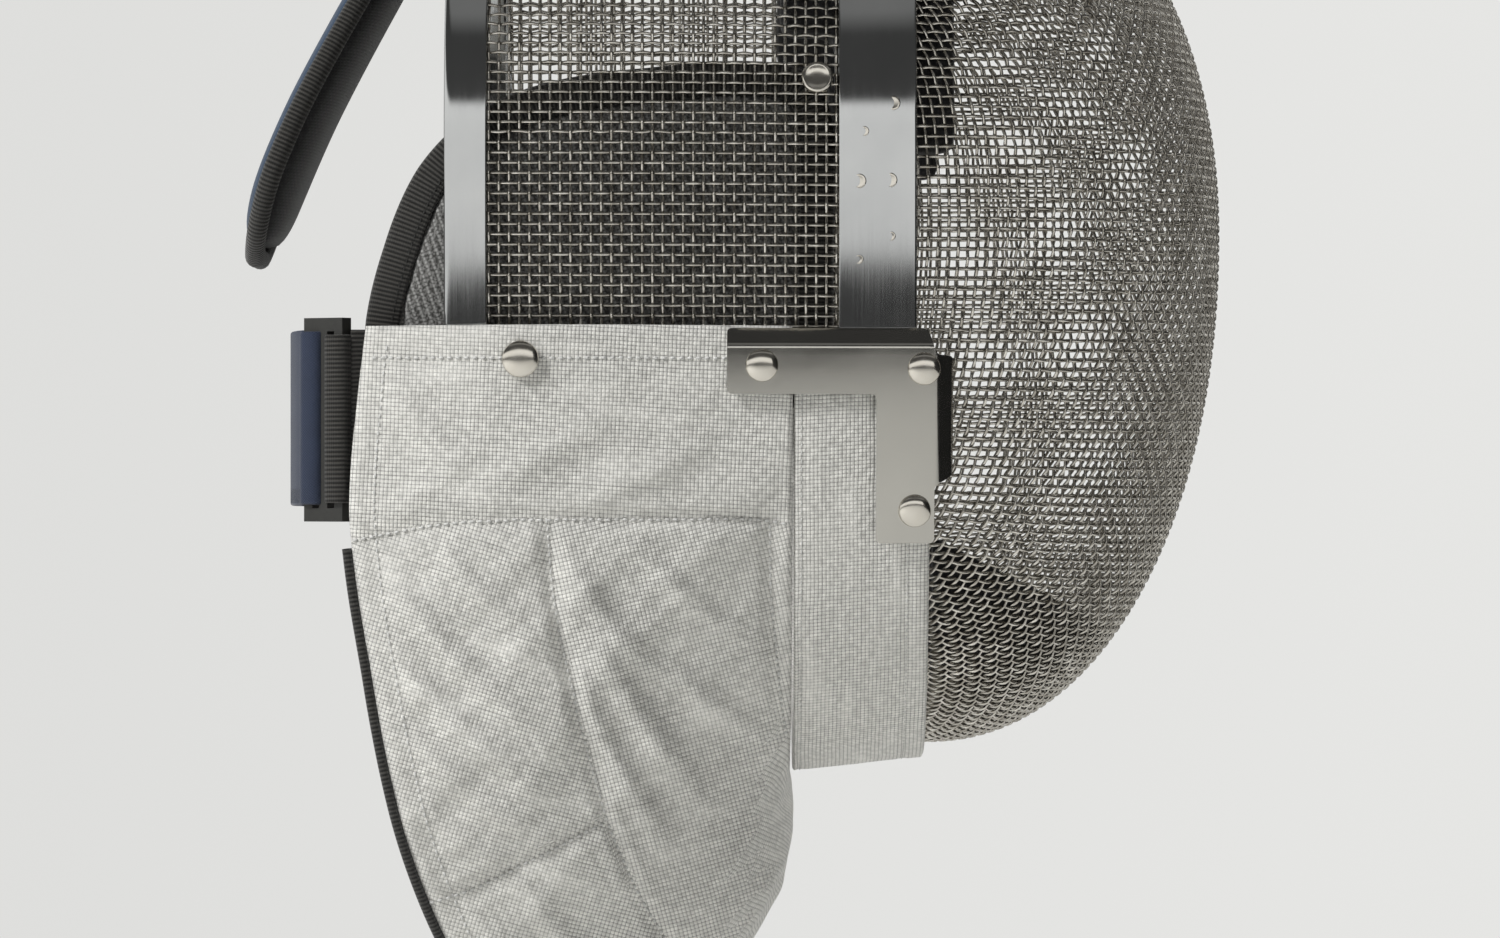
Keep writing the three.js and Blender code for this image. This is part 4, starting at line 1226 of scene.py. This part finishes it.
class ChinStrip(bpy.types.Operator):
    """Make the cloth strip round the chin"""
    bl_idname = "mask.chin_strip"
    bl_label = "Chin strip"

    def execute(self, context):
        front, rear, inner, outer = (STRIP[k] for k in ("front", "rear", "inner", "outer"))
        end = 2 - float(level(STRIP["top"]))
        count = 261
        t = np.linspace(-end, end, count)
        a = np.where(t < 0, -(2 + t), 2 - t)
        depths = np.linspace(front + 0.6, rear - 0.6, 30)
        section = [(inner, front + 0.6), (inner + 1.9, front), (outer - 0.9, front + 0.1)]
        section += [(outer, y) for y in depths]
        section += [(outer - 0.9, rear), (inner, rear - 0.4), (inner, (front + rear) / 2)]
        rings = []
        dense = np.linspace(-end, end, 2001)
        path = outline(np.where(dense < 0, -(2 + dense), 2 - dense), -53)
        run = np.concatenate([[0], np.cumsum(np.linalg.norm(np.diff(path, axis=0), axis=1))])
        t = np.interp(np.linspace(0, run[-1], count), run, dense)
        a = np.where(t < 0, -(2 + t), 2 - t)
        for i in range(count):
            ring = []
            for k, (o, y) in enumerate(section):
                if 3 <= k < 3 + len(depths):
                    share = (y - front) / (rear - front)
                    o += 0.25 * noise.noise(Vector((i * 0.09, share * 2.2, 1.3)))
                    o -= 0.45 * math.exp(-(((y - rear + 2.2) / 1.0) ** 2))
                    o -= 0.4 * math.exp(-(((y - front - 6.5) / 0.9) ** 2))
                ring.append(wall(a[i], y, o))
            rings.append(ring)
        points, faces, coords = swept(rings)
        strip = piece("chin_strip_cloth", points, faces, finish_named("silver_cloth"), "silver_cloth",
                      ["chin_strip"], coords)
        lines = []
        for y in (rear - 2.2, front + 6.5):
            lines.append([wall(a[i], y, outer - 0.25) for i in range(2, count - 2)])
        s = context.scene.mask_cloth
        stitches = grown("chin_strip_stitches", paths_mesh("chin_strip_stitches", lines), stitch_tree(),
                         "silver_cloth", Spacing=s.stitch_gap, Length=s.stitch, Thickness=0.0005,
                         Material=finish_named("silver_thread"))
        return {"FINISHED"}


# ---- pads ----
def softened(name, node, finish, slot, voxel, rounds):
    """A stuffed pad in the place of a CAD body: remeshed, smoothed and swollen a little."""
    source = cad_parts[node]
    mesh = source.data.copy()
    mesh.name = name
    mesh.materials.clear()
    mesh.materials.append(finish)
    thing = bpy.data.objects.new(name, mesh)
    bpy.context.scene.collection.objects.link(thing)
    weld = thing.modifiers.new("weld", "WELD")
    weld.merge_threshold = 2e-5
    remesh = thing.modifiers.new("remesh", "REMESH")
    remesh.mode = "VOXEL"
    remesh.voxel_size = voxel
    smooth = thing.modifiers.new("smooth", "SMOOTH")
    smooth.iterations, smooth.factor = rounds, 0.6
    made = bpy.data.meshes.new_from_object(thing.evaluated_get(bpy.context.evaluated_depsgraph_get()))
    thing.modifiers.clear()
    thing.data = made
    for vertex in made.vertices:
        grain = noise.noise(vertex.co * 70)
        vertex.co += vertex.normal * (0.0004 + 0.0004 * grain)
    made.polygons.foreach_set("use_smooth", [True] * len(made.polygons))
    fitted(thing, slot, [node])
    return thing


EAR_EDGE = [(-44.5, -166), (-44.5, -120), (-44, -80), (-38, -67), (-22, -63), (10, -65), (40, -69.5),
            (62, -79), (78, -95), (88, -118), (93.4, -140), (93.4, -154), (93.4, -166)]


def on_side(side, y, z, offset):
    a = side * float(level(z, min(y, 66.2)))
    p = outline(a, y)
    return np.array([p[0] + side * (offset - 0.2 * max(0, y - 66.2)), y, z])


class Pads(bpy.types.Operator):
    """Make the forehead, chin and ear pads and their ribbon bindings"""
    bl_idname = "mask.pads"
    bl_label = "Pads"

    def execute(self, context):
        black, ribbon = finish_named("black_cloth"), finish_named("black_ribbon")
        softened("forehead_cushion", "forehead_pad", black, "black_cloth", 0.0022, 6)
        softened("chin_lining", "chin_pad", black, "black_cloth", 0.0015, 4)
        stitches = []
        for hand, side in (("right", -1), ("left", 1)):
            softened(f"ear_cushion_{hand}", f"ear_pad_{hand}", finish_named("grey_cloth"), "grey_cloth",
                     0.0018, 6)
            edge = spline([(0, *p) for p in EAR_EDGE], 170)
            along = np.gradient(edge, axis=0)
            along /= np.linalg.norm(along, axis=1, keepdims=True)
            inward = np.stack([np.zeros(len(edge)), along[:, 2], -along[:, 1]], 1)
            profile = [(10.2, -5.0), (9.4, -4.5), (6, -4.2), (2.6, -4.25), (0.8, -5.0), (0.0, -6.8),
                       (-0.1, -9.1), (0.0, -11.4), (0.8, -13.2), (2.6, -13.9), (6, -13.9), (9.4, -13.6),
                       (10.2, -13.1), (9.6, -9.1)]
            rings = []
            for p, n in zip(edge, inward):
                ring = []
                for inset, offset in profile:
                    q = p + n * inset
                    ring.append(on_side(side, q[1], q[2], offset + 0.2))
                rings.append(ring)
            points, faces, coords = swept(rings)
            piece(f"ear_ribbon_{hand}", points, faces, ribbon, "black_ribbon", [f"ear_binding_{hand}"], coords)
            stitches.append([on_side(side, *(p + n * 7.9)[1:], -4.0) for p, n in zip(edge, inward)])
        s = context.scene.mask_cloth
        grown("ribbon_stitches", paths_mesh("ribbon_stitches", stitches), stitch_tree(), "black_ribbon",
              Spacing=s.stitch_gap, Length=s.stitch, Thickness=0.0005, Material=finish_named("black_thread"))
        return {"FINISHED"}


# ---- tongue ----
TONGUE_LINE = [(75, 4, 27), (86, -20, 29), (98.5, -43, 32), (113.8, -72, 35), (125, -98, 35),
               (131.5, -118, 30)]


def tongue_grid(inset, rows, cols):
    line = spline([(0, y, z) for y, z, _ in TONGUE_LINE], rows + 1)
    widths = spline([(h, i * 30.0, 0) for i, (_, _, h) in enumerate(TONGUE_LINE)], rows + 1)[:, 0]
    grid = np.zeros((rows + 1, cols + 1, 3))
    for i, p in enumerate(line):
        left = (rows - i) / rows
        end = math.sqrt(max(0, 1 - max(0, 1 - left / 0.22) ** 2))
        half = max(6, widths[i] * (0.35 + 0.65 * end)) - inset
        for k, u in enumerate(np.linspace(-1, 1, cols + 1)):
            grid[i, k] = (u * half, p[1] + 1.5 * (u * half / 35) ** 2, p[2])
    return grid


class Tongue(bpy.types.Operator):
    """Make the padded tongue, its ribbon binding and its steel spring"""
    bl_idname = "mask.tongue"
    bl_label = "Tongue"

    def execute(self, context):
        rows, cols = 70, 36
        grid = tongue_grid(2.2, rows, cols)[: rows - 1]
        normals = grid_normals(grid)
        if normals[rows // 2, cols // 2, 1] < 0:
            normals = -normals
        u = np.linspace(-1, 1, cols + 1)[None, :]
        v = np.linspace(-1, 1, rows - 1)[:, None]
        swell = (np.clip(1 - np.abs(u) ** 3.2, 0, 1) * np.clip(1 - np.abs(v) ** 9, 0, 1)) ** 0.45
        back = grid + normals * (1.0 + 6.2 * swell)[..., None]
        front = grid - normals * (1.0 + 6.4 * swell)[..., None]
        points, faces, coords = shell(back, front)
        faces = outwards(points, faces)
        size = back.shape[0] * back.shape[1]
        indices = [0 if all(i < size for i in f) else 1 for f in faces]
        pad = piece("tongue_cushion", points, faces, None, "navy_cloth", ["tongue_pad"], coords,
                    finishes=([finish_named("blue_cloth"), finish_named("black_cloth")], indices))
        rim = tongue_grid(0, 60, 12)
        path = np.vstack([rim[:, 0], rim[-1, 1:-1], rim[::-1, -1]])
        path = spline(path[::3], 260)
        points, faces, coords = swept(tube_rings(path, 3.1, 16))
        piece("tongue_ribbon", points, faces, finish_named("black_ribbon"), "black_ribbon",
              ["tongue_binding"], coords)
        over = CROWN_Z + 3.3
        line = spline([(0, -38, 15), (0, 40, 15), (0, 54, over), (0, 66, over), (0, 71.5, 13),
                       (0, 73.4, 9.5)], 90)
        along = np.gradient(line, axis=0)
        along /= np.linalg.norm(along, axis=1, keepdims=True)
        rings = []
        for i, (p, t) in enumerate(zip(line, along)):
            up = np.array([0, -t[2], t[1]])
            half = 13 * (1 - 0.25 * max(0, 1 - i / 6) ** 2)
            section = rounded([(-half, -0.4), (half, -0.4), (half, 0.4), (-half, 0.4)], 0.35, 3)
            rings.append([p + np.array([x, 0, 0]) + up * h for x, h in section])
        points, faces, coords = swept(rings)
        piece("steel_spring", points, faces, finish_named("brushed_steel"), "bright_steel",
              ["tongue_spring"], coords)
        return {"FINISHED"}


# ---- strap ----
def standing(points, top, bottom, thick, count):
    """A flat strap on edge along (x, depth) points, with rounded edges."""
    line = spline([(x, y, 0) for x, y in points], count)
    along = np.gradient(line, axis=0)
    along /= np.linalg.norm(along, axis=1, keepdims=True)
    section = rounded([(-thick / 2, bottom), (thick / 2, bottom), (thick / 2, top), (-thick / 2, top)], 0.9, 3)
    dense = []
    for k, p in enumerate(section):
        q = section[(k + 1) % len(section)]
        parts = max(1, int(abs(q[1] - p[1]) / 4))
        dense += [tuple(np.array(p) + (np.array(q) - p) * j / parts) for j in range(parts)]
    rings = []
    for p, t in zip(line, along):
        out = np.array([-t[1], t[0], 0])
        rings.append([np.array([p[0], p[1], z]) + out * o for o, z in dense])
    return swept(rings)


class Strap(bpy.types.Operator):
    """Make the strap behind the head, its webbing and its sliders"""
    bl_idname = "mask.strap"
    bl_label = "Strap"

    def execute(self, context):
        half = [(81.2, 111.2), (75, 113.4), (60, 116), (30, 117.4)]
        line = half + [(0, 117.8)] + [(-x, y) for x, y in half[::-1]]
        points, faces, coords = standing(line, -142, -194, 2.4, 120)
        piece("strap_cloth", points, faces, finish_named("navy_cloth"), "navy_cloth", ["back_strap"], coords)
        for hand, side in (("right", -1), ("left", 1)):
            web = [(side * x, y) for x, y in ((91.6, 72), (89.6, 82), (88.6, 91), (89.3, 97.4))]
            points, faces, coords = standing(web, -142, -194, 2.0, 24)
            piece(f"strap_web_{hand}", points, faces, finish_named("black_ribbon"), "black_ribbon",
                  [f"webbing_{hand}"], coords[:, ::-1])
            for name, near, far, finish, wrap_slot, low, high in (
                    ("web_wrap", 1.2, 7.9, "black_ribbon", "black_ribbon", -193, -143.5),
                    ("strap_wrap", -7.9, -1.2, "navy_cloth", "navy_cloth", -193.5, -142.5)):
                turn = -side * 1.0
                ring = rounded([(near, -3.6), (far, -3.6), (far, 3.6), (near, 3.6)], 3.0, 5)
                ring = [(side * 85.5 + a * side * math.cos(1.0) - b * math.sin(turn) * 1,
                         104.5 - a * math.sin(1.0) + b * math.cos(turn)) for a, b in ring]
                points, faces, coords = standing(ring, high, low, 1.4, 60)
                piece(f"{name}_{hand}", points, faces, finish_named(finish), wrap_slot, (), coords[:, ::-1])
            refined(f"strap_slider_{hand}", f"slider_{hand}", finish_named("black_plastic"), "black_plastic",
                    0.0012, 4)
        return {"FINISHED"}


# ---- stage ----
class Stage(bpy.types.Operator):
    """Set up the floor, the backdrop, the lights and the camera"""
    bl_idname = "mask.stage"
    bl_label = "Stage"

    def execute(self, context):
        s = context.scene.mask_stage
        scene = context.scene
        # The backdrop glows by its own emission instead of being lit by the lamps, with painted light falloff: a
        # little brighter towards -Y and darker towards +Y.
        glowing_backdrop = Finish("backdrop", Roughness=1.0)
        tone = tuple(s.backdrop)
        across = glowing_backdrop.node("ShaderNodeSeparateXYZ", {}, [glowing_backdrop.place()])[1]
        shade = glowing_backdrop.mix(across * 1.2 + 0.5, tuple(c * 1.03 for c in tone), tuple(c * 0.96 for c in tone))
        glowing_backdrop.feed("Emission Color", shade)
        glowing_backdrop.shader.inputs["Emission Strength"].default_value = 1.0
        glowing_backdrop.shader.inputs["Base Color"].default_value = (0, 0, 0, 1)
        glowing_backdrop.shader.inputs["Specular IOR Level"].default_value = 0
        floor_finish = Finish("floor", Roughness=0.9)
        floor_finish.shader.inputs["Base Color"].default_value = (0.72, 0.72, 0.70, 1)
        z = s.floor_height
        for name, corners, finish in (
                ("floor", [(-2.2, -4, z), (2, -4, z), (2, 4, z), (-2.2, 4, z)], floor_finish),
                ("backdrop", [(2, -4, z), (2, -4, 3), (2, 4, 3), (2, 4, z)], glowing_backdrop)):
            mesh = bpy.data.meshes.new(name)
            mesh.from_pydata(corners, [], [(0, 1, 2, 3)])
            mesh.materials.append(finish.material)
            thing = bpy.data.objects.new(name, mesh)
            scene.collection.objects.link(thing)
        mesh = bpy.data.meshes.new("dark_flag")
        mesh.from_pydata([(-1.8, -1.2, z), (0.4, -1.2, z), (0.4, -1.2, 0.3), (-1.8, -1.2, 0.3)], [],
                         [(0, 1, 2, 3)])
        flag_finish = Finish("dark_flag", Roughness=1.0)
        flag_finish.shader.inputs["Base Color"].default_value = (0.01, 0.01, 0.01, 1)
        mesh.materials.append(flag_finish.material)
        flag = bpy.data.objects.new("dark_flag", mesh)
        scene.collection.objects.link(flag)
        flag.visible_camera = flag.visible_diffuse = flag.visible_shadow = flag.visible_transmission = False
        camera = bpy.data.objects.new("camera", bpy.data.cameras.new("camera"))
        camera.location = (-1.947, -0.020, -0.183)
        camera.rotation_euler = (math.pi / 2, 0, -math.pi / 2)
        camera.data.sensor_width, camera.data.lens = 36, 151.6
        scene.collection.objects.link(camera)
        scene.camera = camera
        for name, place, aim, size, power in (
                ("key", (-1.15, 1.5, 1.2), (0, 0, -0.2), 0.6, 62),
                ("fill", (-1.9, -0.9, 0.3), (0, 0, -0.2), 1.4, 5),
                ("top", (0.4, -0.6, 1.8), (0, 0, -0.1), 1.2, 14)):
            light = bpy.data.objects.new(name, bpy.data.lights.new(name, "AREA"))
            light.data.size, light.data.energy = size, power
            light.location = place
            light.rotation_mode = "QUATERNION"
            light.rotation_quaternion = (Vector(aim) - Vector(place)).to_track_quat("-Z", "Y")
            light.visible_glossy = False
            scene.collection.objects.link(light)
        world = bpy.data.worlds.new("studio")
        scene.world = world
        world.use_nodes = True
        nodes, links = world.node_tree.nodes, world.node_tree.links
        where = nodes.new("ShaderNodeTexCoord")
        split = nodes.new("ShaderNodeSeparateXYZ")
        ramp = nodes.new("ShaderNodeValToRGB")
        shift = nodes.new("ShaderNodeMath")
        shift.operation = "MULTIPLY_ADD"
        shift.inputs[1].default_value, shift.inputs[2].default_value = 0.5, 0.5
        stops = [(0.0, 0.4), (0.37, 0.4), (0.385, 0.06), (0.462, 0.06), (0.474, 0.95), (0.60, 1.05),
                 (0.622, 0.07), (0.80, 0.07), (0.85, 0.25), (0.89, 0.25), (0.93, 0.05), (1.0, 0.05)]
        while len(ramp.color_ramp.elements) < len(stops):
            ramp.color_ramp.elements.new(0.5)
        for element, (spot, grey) in zip(ramp.color_ramp.elements, stops):
            element.position, element.color = spot, (grey, grey, grey * 0.98, 1)
        links.new(where.outputs["Generated"], split.inputs[0])
        links.new(split.outputs[2], shift.inputs[0])
        links.new(shift.outputs[0], ramp.inputs[0])
        front = nodes.new("ShaderNodeMapRange")
        for label, value in (("From Min", -0.97), ("From Max", -0.7), ("To Min", 0.12), ("To Max", 1.0)):
            front.inputs[label].default_value = value
        links.new(split.outputs[1], front.inputs["Value"])
        path = nodes.new("ShaderNodeLightPath")
        soft = nodes.new("ShaderNodeMath")
        soft.operation = "MULTIPLY_ADD"
        soft.inputs[1].default_value, soft.inputs[2].default_value = -0.7, 1.0
        share = nodes.new("ShaderNodeMath")
        share.operation = "MULTIPLY"
        links.new(path.outputs["Is Diffuse Ray"], soft.inputs[0])
        links.new(front.outputs[0], share.inputs[0])
        links.new(soft.outputs[0], share.inputs[1])
        links.new(share.outputs[0], nodes["Background"].inputs[1])
        links.new(ramp.outputs[0], nodes["Background"].inputs[0])
        scene.view_settings.view_transform = "Standard"
        return {"FINISHED"}


STEPS = (Stage, FaceWires, SideWires, SteelStrips, Brackets, Rivets, Bib, ChinStrip, Pads, Tongue, Strap)
GROUPS = (MaskWire, MaskCloth, MaskStage)


class MaskPanel(bpy.types.Panel):
    bl_idname = "VIEW3D_PT_fencing_mask"
    bl_label = "Fencing mask"
    bl_space_type = "VIEW_3D"
    bl_region_type = "UI"
    bl_category = "Mask"

    def draw(self, context):
        for name in ("mask_wire", "mask_cloth", "mask_stage"):
            group = getattr(context.scene, name)
            for label in group.__annotations__:
                self.layout.prop(group, label)
        for step in STEPS:
            self.layout.operator(step.bl_idname)


def register():
    for item in (*GROUPS, *STEPS, MaskPanel):
        bpy.utils.register_class(item)
    bpy.types.Scene.mask_wire = bpy.props.PointerProperty(type=MaskWire)
    bpy.types.Scene.mask_cloth = bpy.props.PointerProperty(type=MaskCloth)
    bpy.types.Scene.mask_stage = bpy.props.PointerProperty(type=MaskStage)


def unregister():
    for name in ("mask_wire", "mask_cloth", "mask_stage"):
        delattr(bpy.types.Scene, name)
    for item in (MaskPanel, *reversed(STEPS), *reversed(GROUPS)):
        bpy.utils.unregister_class(item)


def main():
    register()
    for step in STEPS:
        group, name = step.bl_idname.split(".")
        getattr(getattr(bpy.ops, group), name)()


if __name__ == "__main__":
    main()
